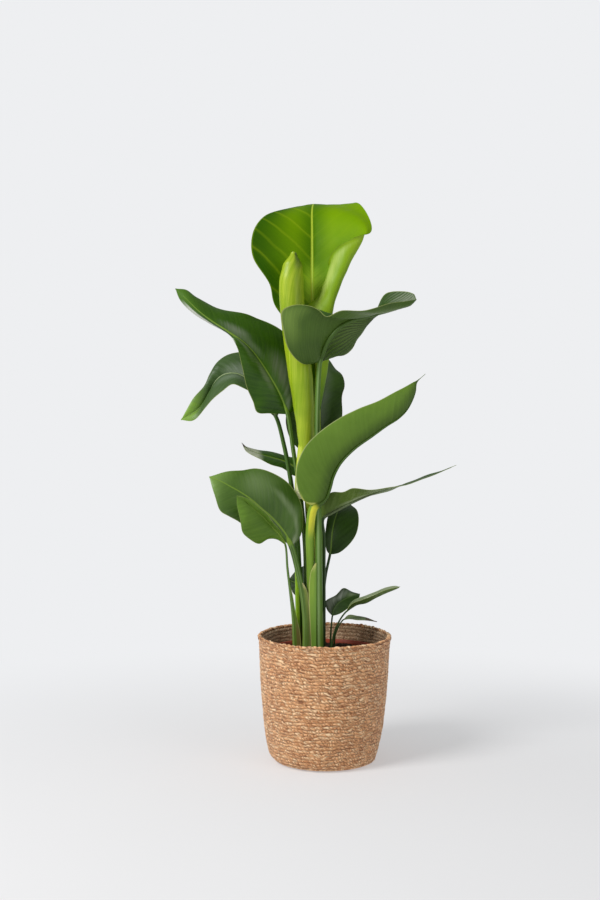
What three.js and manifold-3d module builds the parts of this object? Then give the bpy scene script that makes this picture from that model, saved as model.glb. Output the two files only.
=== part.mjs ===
// A potted giant white bird of paradise (Strelitzia nicolai) in a round seagrass basket.
//
// Millimetres, +Z up. The origin is the centre of the basket's flat underside. +X is to the right and
// +Y to the back when the plant is seen from its front.
//
// The basket holds a plastic nursery pot, the pot holds soil, and every leaf stands in its own hole in
// the soil. A leaf is one solid: a leaf stalk that runs on as the midrib, and a thin blade.
import * as THREE from 'three';
import { mergeVertices } from 'three/addons/utils/BufferGeometryUtils.js';
import Module from 'manifold-3d';

const wasm = await Module();
wasm.setup();

// ---- driving dimensions -------------------------------------------------------------------------

const GAP = 0.3; // clearance between pieces that touch

const BASKET = {
  height: 235,
  rim: 229, // height of the cord that finishes the top edge
  wall: 7,
  rows: 18, // ridges on the outside, each as high as two turns of cord
  ridge: 1.4, // how far a ridge stands out
  sides: 36,
  // Outer radius at a height, from the flat underside up to the rim.
  profile: [
    [90, 0], [99, 3], [105, 13], [112, 42], [116, 65],
    [120.5, 112], [124.5, 160], [126.5, 205], [128.5, 229],
  ],
};
const POT = {
  foot: BASKET.wall + GAP, // height of its underside
  height: 205,
  top: 105, // outer radius under the lip
  bottom: 80,
  wall: 1.8,
  lip: 3,
  lipHeight: 12,
  sides: 32,
};
const SOIL = { top: 203, crown: 5, depth: 46 }; // depth: how far each leaf stalk goes into the soil

const BLADE = 1; // thickness of a blade
const STALK_SIDES = 6;
const CORNER = 1.07; // how much further than the stalk's radius its corners lie
const COLORS = {
  basket: '#b98a5c', pot: '#8c3b24', soil: '#33241b',
  young: '#6f9f1c', spear: '#a9c238', dark: '#2f4f22', mid: '#4c7030',
};

// ---- the leaves ---------------------------------------------------------------------------------
//
// stalk: the stalk's line from the soil up to the blade.
// rib:   the midrib, from the foot of the blade to its tip.
// left, right: the margins, a point for each inner point of the rib. Left and right are as seen from
//        the foot with the upper side up.
// fold:  the line half-way between the midrib and a margin that rolls back over the blade.
// bow:   how far the left and right halves swell towards the upper side between midrib and margin.
// thick: the stalk's radius, at even steps from the soil to the blade.
// grid:  rows along the blade, steps across each half, and rings along the stalk and midrib.
const LEAVES = [
  {
    name: 'leaf_crown_open', color: 'young', thick: [6, 6, 7, 6.5], bow: [0, -6], grid: [14, 4, 14],
    stalk: [[-6, 27, 208], [-8, 28, 330], [-9, 29, 430], [-10, 30, 530]],
    rib: [
      [-14, 30, 647], [-17, 32, 766], [-22, 36, 871], [-24, 42, 925], [-24, 48, 980],
      [-24, 56, 1033], [-24, 76, 1078], [-21, 112, 1102], [-19, 150, 1104], [-16, 196, 1087],
    ],
    left: [
      [-38, 38, 802], [-98, 30, 884], [-108, 24, 924], [-140, 10, 975], [-141, 12, 1020],
      [-121, 40, 1059], [-72, 92, 1089], [-52, 144, 1099],
    ],
    fold: [
      [8, 18, 771], [16, 4, 867], [33, 4, 921], [51, 6, 965], [68, 12, 1009], [55, 44, 1064],
      [27, 98, 1097], [21, 145, 1103],
    ],
    right: [
      [-9, 4, 765], [-22, -14, 874], [-6, -20, 921], [9, -24, 965], [53, -12, 998], [92, 16, 1027],
      [71, 78, 1095], [41, 135, 1100],
    ],
  },
  {
    name: 'leaf_dark_mid', color: 'mid', thick: [11, 8.3, 6.5, 5, 4.5], bow: [-6, -8], grid: [16, 3, 14],
    stalk: [
      [-11, -12, 208], [-11.5, -13, 305], [-12, -14, 400], [-13, -16, 482], [-14, -18, 559],
      [-15, -22, 636], [-14, -28, 705],
    ],
    rib: [
      [-10, -34, 766], [-5, -38, 785], [3, -44, 804], [15, -50, 820], [30, -54, 834],
      [49, -55, 844], [71, -52, 850], [98, -46, 857], [125, -40, 864], [149, -33, 872],
      [165, -27, 878], [176, -22, 887],
    ],
    left: [
      [23, -25, 777], [39, -15, 782], [53, -8, 794], [63, -5, 815], [74, -8, 828], [89, -10, 846],
      [102, 10, 873], [121, 20, 905], [154, 15, 910], [172, 0, 902],
    ],
    right: [
      [-42, -52, 762], [-69, -72, 786], [-78, -82, 820], [-78, -84, 855], [-44, -88, 866],
      [0, -98, 848], [35, -104, 852], [82, -98, 858], [122, -80, 873], [151, -55, 880],
    ],
  },
  {
    name: 'leaf_left_upper', color: 'dark', thick: [5, 4.5, 4.2], bow: [4, 4], grid: [16, 2, 14],
    stalk: [[-37, 11, 208], [-37, 11, 306], [-37, 9, 384], [-41, 9, 450], [-49, 10, 525], [-60, 12, 590]],
    rib: [
      [-72, 12, 668], [-80, 12, 690], [-89, 10, 711], [-103, 7, 736], [-120, 3, 763],
      [-141, -2, 791], [-162, -8, 811], [-187, -14, 828], [-216, -19, 846], [-242, -22, 865],
      [-265, -22, 887], [-288, -17, 909],
    ],
    left: [
      [-106, 2, 671], [-133, -8, 681], [-152, -16, 722], [-161, -22, 763], [-169, -20, 795],
      [-182, -8, 817], [-201, -2, 832], [-226, -4, 845], [-253, -8, 862], [-274, -12, 877],
    ],
    right: [
      [-56, 22, 679], [-46, 36, 713], [-44, 46, 757], [-54, 52, 801], [-80, 50, 833],
      [-114, 44, 853], [-139, 36, 861], [-166, 26, 867], [-212, 10, 876], [-246, -4, 894],
    ],
  },
  {
    name: 'leaf_left_behind', color: 'dark', thick: [7.5, 7.8, 7, 4.5, 4], bow: [3, 5], grid: [13, 2, 14],
    stalk: [[-48, 1, 208], [-50, 1, 306], [-52, 1, 380], [-59, 7, 481], [-68, 15, 550], [-80, 23, 610]],
    rib: [
      [-94, 30, 661], [-111, 38, 689], [-132, 48, 715], [-152, 60, 738], [-174, 68, 751],
      [-197, 72, 751], [-213, 72, 742], [-225, 70, 725], [-235, 66, 704], [-252, 60, 680],
      [-285, 52, 658],
    ],
    left: [
      [-105, 26, 669], [-132, 22, 702], [-162, 22, 722], [-180, 26, 727], [-198, 32, 716],
      [-220, 38, 699], [-236, 42, 681], [-249, 46, 667], [-263, 50, 656],
    ],
    right: [
      [-80, 54, 702], [-94, 75, 755], [-125, 92, 789], [-160, 100, 797], [-193, 98, 793],
      [-215, 88, 777], [-230, 76, 752], [-241, 66, 726], [-262, 60, 700],
    ],
  },
  {
    name: 'leaf_right_behind', color: 'dark', thick: [5, 4.5], bow: [3, 3], grid: [10, 2, 12],
    stalk: [[-24, 25, 208], [-22, 28, 303], [-20, 33, 381], [-18, 39, 480]],
    rib: [
      [-16, 46, 578], [-16, 54, 618], [-16, 62, 658], [-18, 78, 703], [-19, 104, 745],
      [-23, 140, 781], [-25, 180, 805], [-27, 212, 819],
    ],
    left: [
      [-62, 42, 612], [-76, 50, 650], [-72, 64, 690], [-68, 90, 730], [-56, 130, 771],
      [-44, 176, 800],
    ],
    right: [[27, 42, 622], [36, 46, 664], [36, 60, 702], [42, 80, 735], [22, 120, 771], [-6, 170, 798]],
  },
  {
    name: 'leaf_right_big', color: 'mid', thick: [6.6, 6.8, 6.8, 6], bow: [0, -5], grid: [14, 2, 12],
    stalk: [[-28, -1, 208], [-27, -3, 308], [-27, -9, 380], [-27, -17, 440]],
    rib: [
      [-25, -28, 489], [-8, -33, 504], [1, -40, 526], [11, -48, 547], [28, -60, 574],
      [54, -68, 601], [86, -76, 624], [114, -80, 644], [135, -80, 657], [151, -76, 672],
      [162, -72, 690], [170, -68, 712], [188, -62, 741],
    ],
    left: [
      [-37, -34, 506], [-44, -38, 539], [-41, -36, 566], [-25, -34, 600], [-6, -30, 623],
      [34, -32, 654], [72, -36, 671], [106, -42, 684], [134, -48, 697], [155, -54, 710],
      [169, -60, 723],
    ],
    right: [
      [-44, -46, 505], [-55, -60, 539], [-54, -68, 568], [-39, -76, 603], [-16, -84, 628],
      [23, -92, 656], [61, -96, 675], [97, -94, 689], [127, -88, 705], [148, -80, 716],
      [166, -72, 726],
    ],
  },
  {
    name: 'leaf_right_thin', color: 'mid', thick: [4, 4], bow: [-2, -2], grid: [12, 2, 12],
    stalk: [[-1, 6, 208], [-1, 6, 306], [-1, 6, 380], [-1, 4, 430]],
    rib: [
      [1, 2, 464], [14, -4, 474], [33, -12, 483], [52, -20, 493], [71, -28, 503], [93, -36, 513],
      [120, -42, 523], [152, -45, 534], [186, -43, 545], [219, -37, 556], [251, -30, 569],
    ],
    left: [
      [11, 10, 485], [30, 18, 494], [54, 20, 502], [77, 14, 508], [104, 4, 514], [134, -8, 524],
      [162, -20, 535], [193, -30, 549], [224, -32, 559],
    ],
    right: [
      [-2, 0, 493], [8, -24, 521], [39, -46, 528], [62, -58, 534], [89, -66, 529], [121, -66, 527],
      [152, -62, 532], [187, -54, 544], [220, -43, 556],
    ],
  },
  {
    name: 'leaf_right_low', color: 'dark', thick: [3, 2.6], bow: [2, 2], grid: [9, 2, 8],
    stalk: [[-1, 18, 208], [-2, 18, 304], [2, 20, 350]],
    rib: [
      [11, 26, 392], [13, 28, 405], [14, 32, 420], [16, 38, 438], [20, 48, 455], [26, 62, 471],
      [35, 84, 485], [46, 112, 496],
    ],
    left: [[5, 25, 399], [2, 28, 415], [2, 33, 432], [4, 43, 449], [8, 58, 466], [21, 82, 482]],
    right: [[29, 24, 396], [51, 28, 414], [64, 36, 434], [69, 48, 457], [67, 66, 474], [56, 90, 486]],
  },
  {
    name: 'leaf_left_low', color: 'dark', thick: [5.2, 5.5, 5.5], bow: [3, 3], grid: [12, 2, 11],
    stalk: [[-38, -12, 208], [-38, -12, 269], [-43, -13, 318], [-52, -16, 365]],
    rib: [
      [-64, -21, 411], [-75, -24, 435], [-87, -28, 452], [-103, -33, 470], [-121, -37, 486],
      [-140, -40, 503], [-160, -42, 517], [-181, -43, 529], [-202, -41, 540], [-221, -39, 547],
    ],
    left: [
      [-75, -22, 420], [-94, -27, 433], [-123, -36, 445], [-147, -44, 449], [-166, -50, 463],
      [-182, -54, 472], [-199, -56, 483], [-211, -50, 515],
    ],
    right: [
      [-47, -16, 432], [-42, -13, 463], [-50, -10, 502], [-74, -9, 537], [-106, -10, 556],
      [-135, -13, 563], [-162, -19, 559], [-192, -29, 555],
    ],
  },
  {
    name: 'leaf_left_front', color: 'mid', thick: [4.3, 3, 2], bow: [-3, -6], grid: [10, 2, 10],
    stalk: [[-59, -13, 208], [-61, -14, 270], [-66, -18, 320], [-72, -24, 370]],
    rib: [
      [-76, -30, 416], [-84, -42, 432], [-95, -56, 447], [-106, -66, 460], [-119, -78, 475],
      [-132, -90, 487], [-144, -100, 499], [-155, -109, 508], [-164, -116, 514],
    ],
    left: [
      [-83, -48, 440], [-88, -64, 450], [-98, -78, 462], [-109, -90, 479], [-125, -100, 493],
      [-140, -109, 506], [-153, -115, 512],
    ],
    right: [
      [-92, -44, 428], [-108, -58, 430], [-125, -66, 422], [-142, -78, 431], [-155, -88, 444],
      [-159, -97, 470], [-164, -107, 497],
    ],
  },
  {
    name: 'leaf_left_small', color: 'dark', thick: [3, 2.5], bow: [2, 2], grid: [7, 2, 9],
    stalk: [[-36, 29, 208], [-34, 34, 301], [-33, 38, 380], [-35, 44, 470]],
    rib: [
      [-42, 50, 546], [-56, 54, 562], [-78, 58, 575], [-104, 62, 583], [-128, 64, 590],
      [-148, 62, 598], [-164, 58, 612],
    ],
    left: [[-60, 44, 547], [-82, 42, 562], [-105, 44, 568], [-126, 48, 579], [-145, 54, 588]],
    right: [[-52, 66, 578], [-78, 74, 586], [-109, 78, 595], [-135, 76, 599], [-154, 68, 602]],
  },
  {
    name: 'leaf_back_low', color: 'dark', thick: [2.5, 2], bow: [2, 2], grid: [6, 2, 8],
    stalk: [[-22, 42, 208], [-12, 48, 260]],
    rib: [[-4, 58, 318], [-20, 64, 329], [-40, 70, 333], [-58, 74, 332], [-71, 78, 336]],
    left: [[-16, 56, 305], [-38, 60, 298], [-60, 68, 309]],
    right: [[-12, 72, 357], [-36, 82, 364], [-56, 82, 354]],
  },
  {
    name: 'leaf_side_broad', color: 'dark', thick: [2.4, 1.6], bow: [1, 1], grid: [8, 2, 6],
    stalk: [[11, -3, 208], [12, 0, 244]],
    rib: [
      [15, 2, 275], [18, 5, 288], [26, 9, 298], [37, 13, 305], [50, 18, 310], [61, 24, 313],
      [70, 30, 314],
    ],
    left: [[5, 16, 285], [2, 26, 299], [23, 26, 312], [38, 32, 325], [55, 32, 318]],
    right: [[28, 0, 279], [39, 2, 285], [49, 5, 293], [59, 10, 301], [68, 17, 309]],
  },
  {
    name: 'leaf_side_narrow', color: 'dark', thick: [2.8, 1.8], bow: [-1, -1], grid: [8, 2, 6],
    stalk: [[13, -11, 212], [17, -12, 240], [26, -15, 265]],
    rib: [
      [40, -19, 286], [59, -27, 302], [78, -34, 307], [96, -39, 317], [115, -43, 326],
      [132, -46, 333], [142, -47, 338],
    ],
    left: [[54, -16, 307], [78, -22, 318], [96, -28, 326], [115, -34, 335], [133, -40, 339]],
    right: [[51, -34, 304], [74, -46, 315], [92, -50, 323], [111, -51, 331], [130, -50, 336]],
  },
  {
    name: 'leaf_side_withered', color: 'dark', thick: [2.5, 1.4], bow: [-1, -1], grid: [6, 2, 6],
    stalk: [[19, 7, 208], [21, 5, 239]],
    rib: [[36, 0, 268], [49, -4, 273], [64, -9, 273], [79, -15, 272], [100, -24, 268]],
    left: [[47, 3, 277], [63, -2, 276], [80, -10, 274]],
    right: [[49, -10, 271], [62, -16, 270], [79, -20, 270]],
  },
];

// The youngest leaf is still rolled: a scroll round its own axis, with the free margin as a step.
const SPEAR = {
  name: 'leaf_spear_rolled', color: 'spear', thick: [6],
  stalk: [[-15, 10, 208], [-16, 9, 308], [-21, 8, 384], [-26, 6, 450]],
  axis: [
    [-31, 4, 500], [-34, 3, 545], [-35, 1, 600], [-37, 0, 640], [-41, -1, 690], [-47, -3, 745],
    [-54, -4, 805], [-60, -5, 870], [-62, -6, 925], [-61, -6, 952], [-59, -6, 976],
  ],
  radius: [8, 12, 14.5, 17, 20.5, 23.5, 23.5, 23.5, 23.8, 20, 8],
  step: 2.2,
  turn: [20, 250], // where the free margin lies at the foot and at the top, in degrees round the axis
  slant: 40, // how steeply the top slopes away from its point
};

// ---- geometry helpers ---------------------------------------------------------------------------

const vec = (p) => new THREE.Vector3(...p);
const rad = THREE.MathUtils.degToRad;
const spline = (points) => new THREE.CatmullRomCurve3(points.map(vec), false, 'centripetal');

// The value of a list of numbers at a share t of its length, eased between its entries.
function along(list, t) {
  const at = t * (list.length - 1);
  const i = Math.min(Math.floor(at), list.length - 2);
  const f = THREE.MathUtils.smoothstep(at - i, 0, 1);
  return list[i] * (1 - f) + list[i + 1] * f;
}

// A closed triangle mesh as a manifold solid.
function solid(geometry) {
  const bare = geometry.index ? geometry.toNonIndexed() : geometry.clone();
  bare.deleteAttribute('normal');
  bare.deleteAttribute('uv');
  const merged = mergeVertices(bare, 1e-3);
  return new wasm.Manifold(new wasm.Mesh({
    numProp: 3,
    vertProperties: merged.attributes.position.array,
    triVerts: new Uint32Array(merged.index.array),
  }));
}

// A manifold solid as a geometry.
function geometryOf(shape) {
  const mesh = shape.getMesh();
  return new THREE.BufferGeometry()
    .setAttribute('position', new THREE.BufferAttribute(new Float32Array(mesh.vertProperties), 3))
    .setIndex(new THREE.BufferAttribute(new Uint32Array(mesh.triVerts), 1));
}

function indexed(points, index) {
  return new THREE.BufferGeometry()
    .setAttribute('position', new THREE.Float32BufferAttribute(points.flatMap((p) => p.toArray()), 3))
    .setIndex(index);
}

// Rings of equally many points, joined into one closed skin with a cap at each end.
function skin(rings) {
  const n = rings[0].length;
  const index = [];
  for (let i = 0; i + 1 < rings.length; i++)
    for (let j = 0; j < n; j++) {
      const a = i * n + j;
      const b = i * n + ((j + 1) % n);
      index.push(a, b, b + n, a, b + n, a + n);
    }
  const last = (rings.length - 1) * n;
  for (let j = 1; j + 1 < n; j++) {
    index.push(0, j + 1, j);
    index.push(last, last + j, last + j + 1);
  }
  return indexed(rings.flat(), index);
}

function lathe(profile, sides) {
  const points = profile.map(([r, z]) => new THREE.Vector2(r, z));
  return new THREE.LatheGeometry(points, sides).rotateX(Math.PI / 2);
}

// ---- a leaf -------------------------------------------------------------------------------------

// The upright end of a stalk in the soil.
function rooted({ stalk: [[x, y]] }) {
  return [[x, y, SOIL.top - SOIL.depth], [x, y, SOIL.top - SOIL.depth / 2]];
}

// The curves of a leaf: its whole midline, where on it the blade begins, and the blade's two halves.
function curvesOf(leaf) {
  const line = [...rooted(leaf), ...leaf.stalk, ...leaf.rib];
  const ends = (inner) => spline([leaf.rib[0], ...inner, leaf.rib.at(-1)]);
  return {
    midline: spline(line),
    begins: (leaf.stalk.length + 2) / (line.length - 1),
    margins: [ends(leaf.left), ends(leaf.right)],
    fold: leaf.fold && ends(leaf.fold),
  };
}

// The points of one half of a blade at a share t of its length, from beside the rib to the margin.
function halfSection(leaf, curves, side, t, steps) {
  const u = curves.begins + (1 - curves.begins) * t;
  const rib = curves.midline.getPoint(u);
  const forward = curves.midline.getTangent(u);
  const inside = THREE.MathUtils.clamp(t, 0.02, 0.98);
  const across = curves.margins[side].getPoint(inside)
    .sub(curves.midline.getPoint(curves.begins + (1 - curves.begins) * inside));
  const reach = curves.margins[side].getPoint(t).sub(rib);
  if (reach.length() < 1) reach.copy(across).setLength(1);
  const up = side === 0
    ? new THREE.Vector3().crossVectors(forward, reach).normalize()
    : new THREE.Vector3().crossVectors(reach, forward).normalize();
  const swell = leaf.bow[side] * Math.min(reach.length() / 40, 1);
  const middle = curves.fold && side === 1
    ? curves.fold.getPoint(t).sub(rib)
    : reach.clone().multiplyScalar(0.5).addScaledVector(up, swell);
  const points = [];
  for (let k = 1; k <= steps; k++) {
    const s = k / steps;
    const point = rib.clone().addScaledVector(middle, 4 * s * (1 - s));
    points.push(point.addScaledVector(reach, s * (2 * s - 1)));
  }
  return points;
}

// The blade as a sheet of even thickness, with the same triangles on both faces.
function bladeGeometry(leaf, rows, steps) {
  const curves = curvesOf(leaf);
  const sheet = [];
  for (let i = 0; i <= rows; i++) {
    const t = i / rows;
    const rib = curves.midline.getPoint(curves.begins + (1 - curves.begins) * t);
    sheet.push([
      ...halfSection(leaf, curves, 0, t, steps).reverse(), rib,
      ...halfSection(leaf, curves, 1, t, steps),
    ]);
  }
  const m = sheet.length;
  const n = sheet[0].length;
  const within = (i, count) => THREE.MathUtils.clamp(i, 0, count - 1);
  const at = (i, j) => sheet[within(i, m)][within(j, n)];
  const faces = [0.5, -0.5].flatMap((half) => sheet.flatMap((row, i) => row.map((p, j) => {
    const rightwards = at(i, j + 1).clone().sub(at(i, j - 1));
    const forwards = at(i + 1, j).clone().sub(at(i - 1, j));
    return p.clone().addScaledVector(rightwards.cross(forwards).normalize(), BLADE * half);
  })));
  const under = m * n;
  const index = [];
  for (let i = 0; i + 1 < m; i++)
    for (let j = 0; j + 1 < n; j++) {
      const a = i * n + j;
      const halves = j < (n - 1) / 2
        ? [[a, a + 1, a + n + 1], [a, a + n + 1, a + n]]
        : [[a, a + 1, a + n], [a + 1, a + n + 1, a + n]];
      for (const [p, q, r] of halves) index.push(p, q, r, under + p, under + r, under + q);
    }
  const rim = [];
  for (let j = 0; j + 1 < n; j++) rim.push([j + 1, j]);
  for (let i = 0; i + 1 < m; i++) rim.push([i * n, (i + 1) * n]);
  for (let j = 0; j + 1 < n; j++) rim.push([(m - 1) * n + j, (m - 1) * n + j + 1]);
  for (let i = m - 1; i > 0; i--) rim.push([i * n + n - 1, (i - 1) * n + n - 1]);
  for (const [a, b] of rim) index.push(a, b, under + b, a, under + b, under + a);
  return indexed(faces, index);
}

// The stalk and the midrib as one tapering tube, sunk a little below the blade.
function stalkGeometry(leaf, rings) {
  const { midline, begins, margins } = curvesOf(leaf);
  const side = margins[0].getPoint(0.2).sub(margins[1].getPoint(0.2));
  const ends = begins + (1 - begins) * 0.93;
  const sections = [];
  for (let i = 0; i <= rings; i++) {
    const u = ends * (i / rings);
    const t = Math.max((u - begins) / (1 - begins), 0);
    const forward = midline.getTangent(u);
    const width = margins[0].getPoint(t).sub(margins[1].getPoint(t)).normalize();
    if (t > 0) side.lerp(width, Math.min(t * 4, 1));
    const up = new THREE.Vector3().crossVectors(forward, side).normalize();
    const left = new THREE.Vector3().crossVectors(up, forward);
    const taper = leaf.thick.at(-1) * (1 - t) ** 0.9;
    const r = t > 0 ? Math.max(taper, 0.9) : along(leaf.thick, u / begins);
    const centre = midline.getPoint(u).addScaledVector(up, -0.5 * r * Math.min(t * 8, 1));
    const ring = [];
    for (let j = 0; j < STALK_SIDES; j++) {
      const angle = 2 * Math.PI * (j / STALK_SIDES);
      const out = left.clone().multiplyScalar(Math.cos(angle)).addScaledVector(up, Math.sin(angle));
      ring.push(centre.clone().addScaledVector(out, CORNER * r));
    }
    sections.push(ring);
  }
  return skin(sections);
}

function leafShape(leaf) {
  const [rows, steps, rings] = leaf.grid;
  const blade = solid(bladeGeometry(leaf, rows, steps));
  const whole = blade.add(solid(stalkGeometry(leaf, rings))).simplify(0.15);
  const bodies = whole.decompose().sort((a, b) => b.volume() - a.volume());
  return bodies[0]; // without slivers left at the join
}

// ---- the rolled leaf ----------------------------------------------------------------------------

function spearShape() {
  const stalk = [...rooted(SPEAR), ...SPEAR.stalk];
  const curve = spline([...stalk, ...SPEAR.axis]);
  const radii = [...stalk.map(() => SPEAR.thick[0]), ...SPEAR.radius];
  const begins = stalk.length / (radii.length - 1);
  const sides = 13;
  const rows = 26;
  const sections = [];
  for (let i = 0; i <= rows; i++) {
    const u = i / rows;
    const t = Math.max((u - begins) / (1 - begins), 0);
    const centre = curve.getPoint(u);
    const r = along(radii, u);
    const turn = rad(SPEAR.turn[0] + (SPEAR.turn[1] - SPEAR.turn[0]) * t);
    const step = SPEAR.step * Math.min(t * 5, 1);
    const ring = [];
    for (let j = 0; j <= sides; j++) {
      const angle = turn + 2 * Math.PI * (j / sides);
      const reach = r + step * (0.5 - j / sides) - (j === sides ? 0.05 : 0);
      const rise = Math.max(u - 0.86, 0) * SPEAR.slant * Math.cos(angle - rad(245));
      const out = new THREE.Vector3(reach * Math.cos(angle), reach * Math.sin(angle), rise);
      ring.push(out.add(centre));
    }
    sections.push(ring);
  }
  return solid(skin(sections));
}

// ---- basket, pot and soil -----------------------------------------------------------------------

// The basket's outer radius at a height.
function basketRadius(z) {
  const i = Math.max(BASKET.profile.findIndex(([, top]) => top >= z), 1);
  const [[r0, z0], [r1, z1]] = BASKET.profile.slice(i - 1, i + 1);
  return r0 + (r1 - r0) * ((z - z0) / (z1 - z0));
}

function basketShape() {
  const { height, rim, wall, rows, ridge } = BASKET;
  const outside = [[0, 0], [BASKET.profile[0][0], 0]];
  for (let i = 0; i < rows; i++) {
    const low = (rim * i) / rows;
    const middle = (rim * (i + 0.5)) / rows;
    if (i > 0) outside.push([basketRadius(low) - ridge, low]);
    outside.push([basketRadius(middle), middle]);
  }
  const top = basketRadius(rim);
  outside.push([top - ridge, rim - 4], [top + 1.5, rim + 0.5], [top - 3.5, height], [top - wall - 1, rim]);
  const inside = [200, 120, 50, 14].map((z) => [basketRadius(z) - wall - 1, z]);
  return solid(lathe([...outside, ...inside, [90, wall], [0, wall]], BASKET.sides));
}

function potShape() {
  const { foot, height, top, bottom, wall, lip, lipHeight } = POT;
  const rim = foot + height;
  return solid(lathe([
    [0, foot], [bottom, foot], [top, rim - lipHeight], [top + lip, rim - lipHeight],
    [top + lip, rim], [top - wall, rim], [top - wall, rim - lipHeight],
    [bottom - wall, foot + wall], [0, foot + wall],
  ], POT.sides));
}

// The soil fills the pot, and each leaf stands in a hole of its own.
function soilShape() {
  const { foot, height, top, bottom, wall, lipHeight } = POT;
  const floor = foot + wall + GAP;
  const shoulder = foot + height - lipHeight;
  const slope = (top - bottom) / (shoulder - foot);
  const inner = (z) => bottom - wall - 2 * GAP + slope * (Math.min(z, shoulder) - foot);
  let soil = solid(lathe([
    [0, floor], [inner(floor), floor], [inner(shoulder), shoulder], [inner(shoulder), SOIL.top],
    [60, SOIL.top + SOIL.crown * 0.7], [0, SOIL.top + SOIL.crown],
  ], POT.sides));
  for (const leaf of [...LEAVES, SPEAR]) {
    const [x, y] = leaf.stalk[0];
    const reach = CORNER * leaf.thick[0] + 3 * GAP;
    const hole = new THREE.CylinderGeometry(reach, reach, 2 * SOIL.depth + 2 * GAP, 12)
      .rotateX(Math.PI / 2)
      .translate(x, y, SOIL.top);
    soil = soil.subtract(solid(hole));
  }
  return soil;
}

// ---- the whole ----------------------------------------------------------------------------------

const group = new THREE.Group();
group.name = 'potted_bird_of_paradise';

function add(name, shape, color) {
  const mesh = new THREE.Mesh(geometryOf(shape), new THREE.MeshStandardMaterial({ color }));
  mesh.name = name;
  group.add(mesh);
}

add('basket', basketShape(), COLORS.basket);
add('nursery_pot', potShape(), COLORS.pot);
add('soil', soilShape(), COLORS.soil);
for (const leaf of LEAVES) add(leaf.name, leafShape(leaf), COLORS[leaf.color]);
add(SPEAR.name, spearShape(), COLORS[SPEAR.color]);

export default group;
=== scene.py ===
"""The looks of a potted giant white bird of paradise (Strelitzia nicolai) in a seagrass basket.

The leaf tables repeat the CAD source's but for a few margins, so every piece lies where its solid does.
Lengths in the tables and helpers are millimetres, and Body.join turns them into metres.
"""

import math
import random
from functools import partialmethod
from math import pi

import bmesh
import bpy
import numpy as np
from mathutils import Matrix, Vector


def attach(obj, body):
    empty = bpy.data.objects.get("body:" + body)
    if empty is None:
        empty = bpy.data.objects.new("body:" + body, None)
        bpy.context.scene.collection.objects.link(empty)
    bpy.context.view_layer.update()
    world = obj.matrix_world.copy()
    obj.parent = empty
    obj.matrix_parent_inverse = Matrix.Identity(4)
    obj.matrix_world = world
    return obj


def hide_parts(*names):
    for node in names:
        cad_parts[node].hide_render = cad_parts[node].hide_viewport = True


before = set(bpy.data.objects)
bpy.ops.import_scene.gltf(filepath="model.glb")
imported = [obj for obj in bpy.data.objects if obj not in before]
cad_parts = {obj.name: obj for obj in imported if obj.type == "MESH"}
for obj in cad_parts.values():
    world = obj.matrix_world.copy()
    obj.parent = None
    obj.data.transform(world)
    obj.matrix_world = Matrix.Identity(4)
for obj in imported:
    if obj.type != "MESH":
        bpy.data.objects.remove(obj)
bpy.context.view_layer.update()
random.seed(11)
rng = np.random.default_rng(11)
MM = 0.001

# ---- the camera, where the photograph was taken from -------------------------------------------------

EYE = (-0.048, -2.080, 0.598)  # metres; it looks level along +Y
LENS = 42.8  # millimetres, with the 36 mm sensor along the picture's long side

camera = bpy.data.objects.new("camera", bpy.data.cameras.new("camera"))
bpy.context.scene.collection.objects.link(camera)
camera.location = EYE
camera.rotation_euler = (math.radians(90), 0, 0)
camera.data.lens = LENS
camera.data.clip_start = 0.05
bpy.context.scene.camera = camera

# ---- dimensions, as in the CAD source ----------------------------------------------------------------

BASKET = {"height": 235, "rim": 229, "wall": 7}
PROFILE = [
    (90, 0), (99, 3), (105, 13), (112, 42), (116, 65), (120.5, 112), (124.5, 160), (126.5, 205),
    (128.5, 229),
]
POT = {"foot": 7.3, "height": 205, "top": 105, "bottom": 80, "wall": 1.8, "lip": 3, "lip_height": 12}
SOIL = {"top": 203, "crown": 5, "depth": 46}

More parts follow.
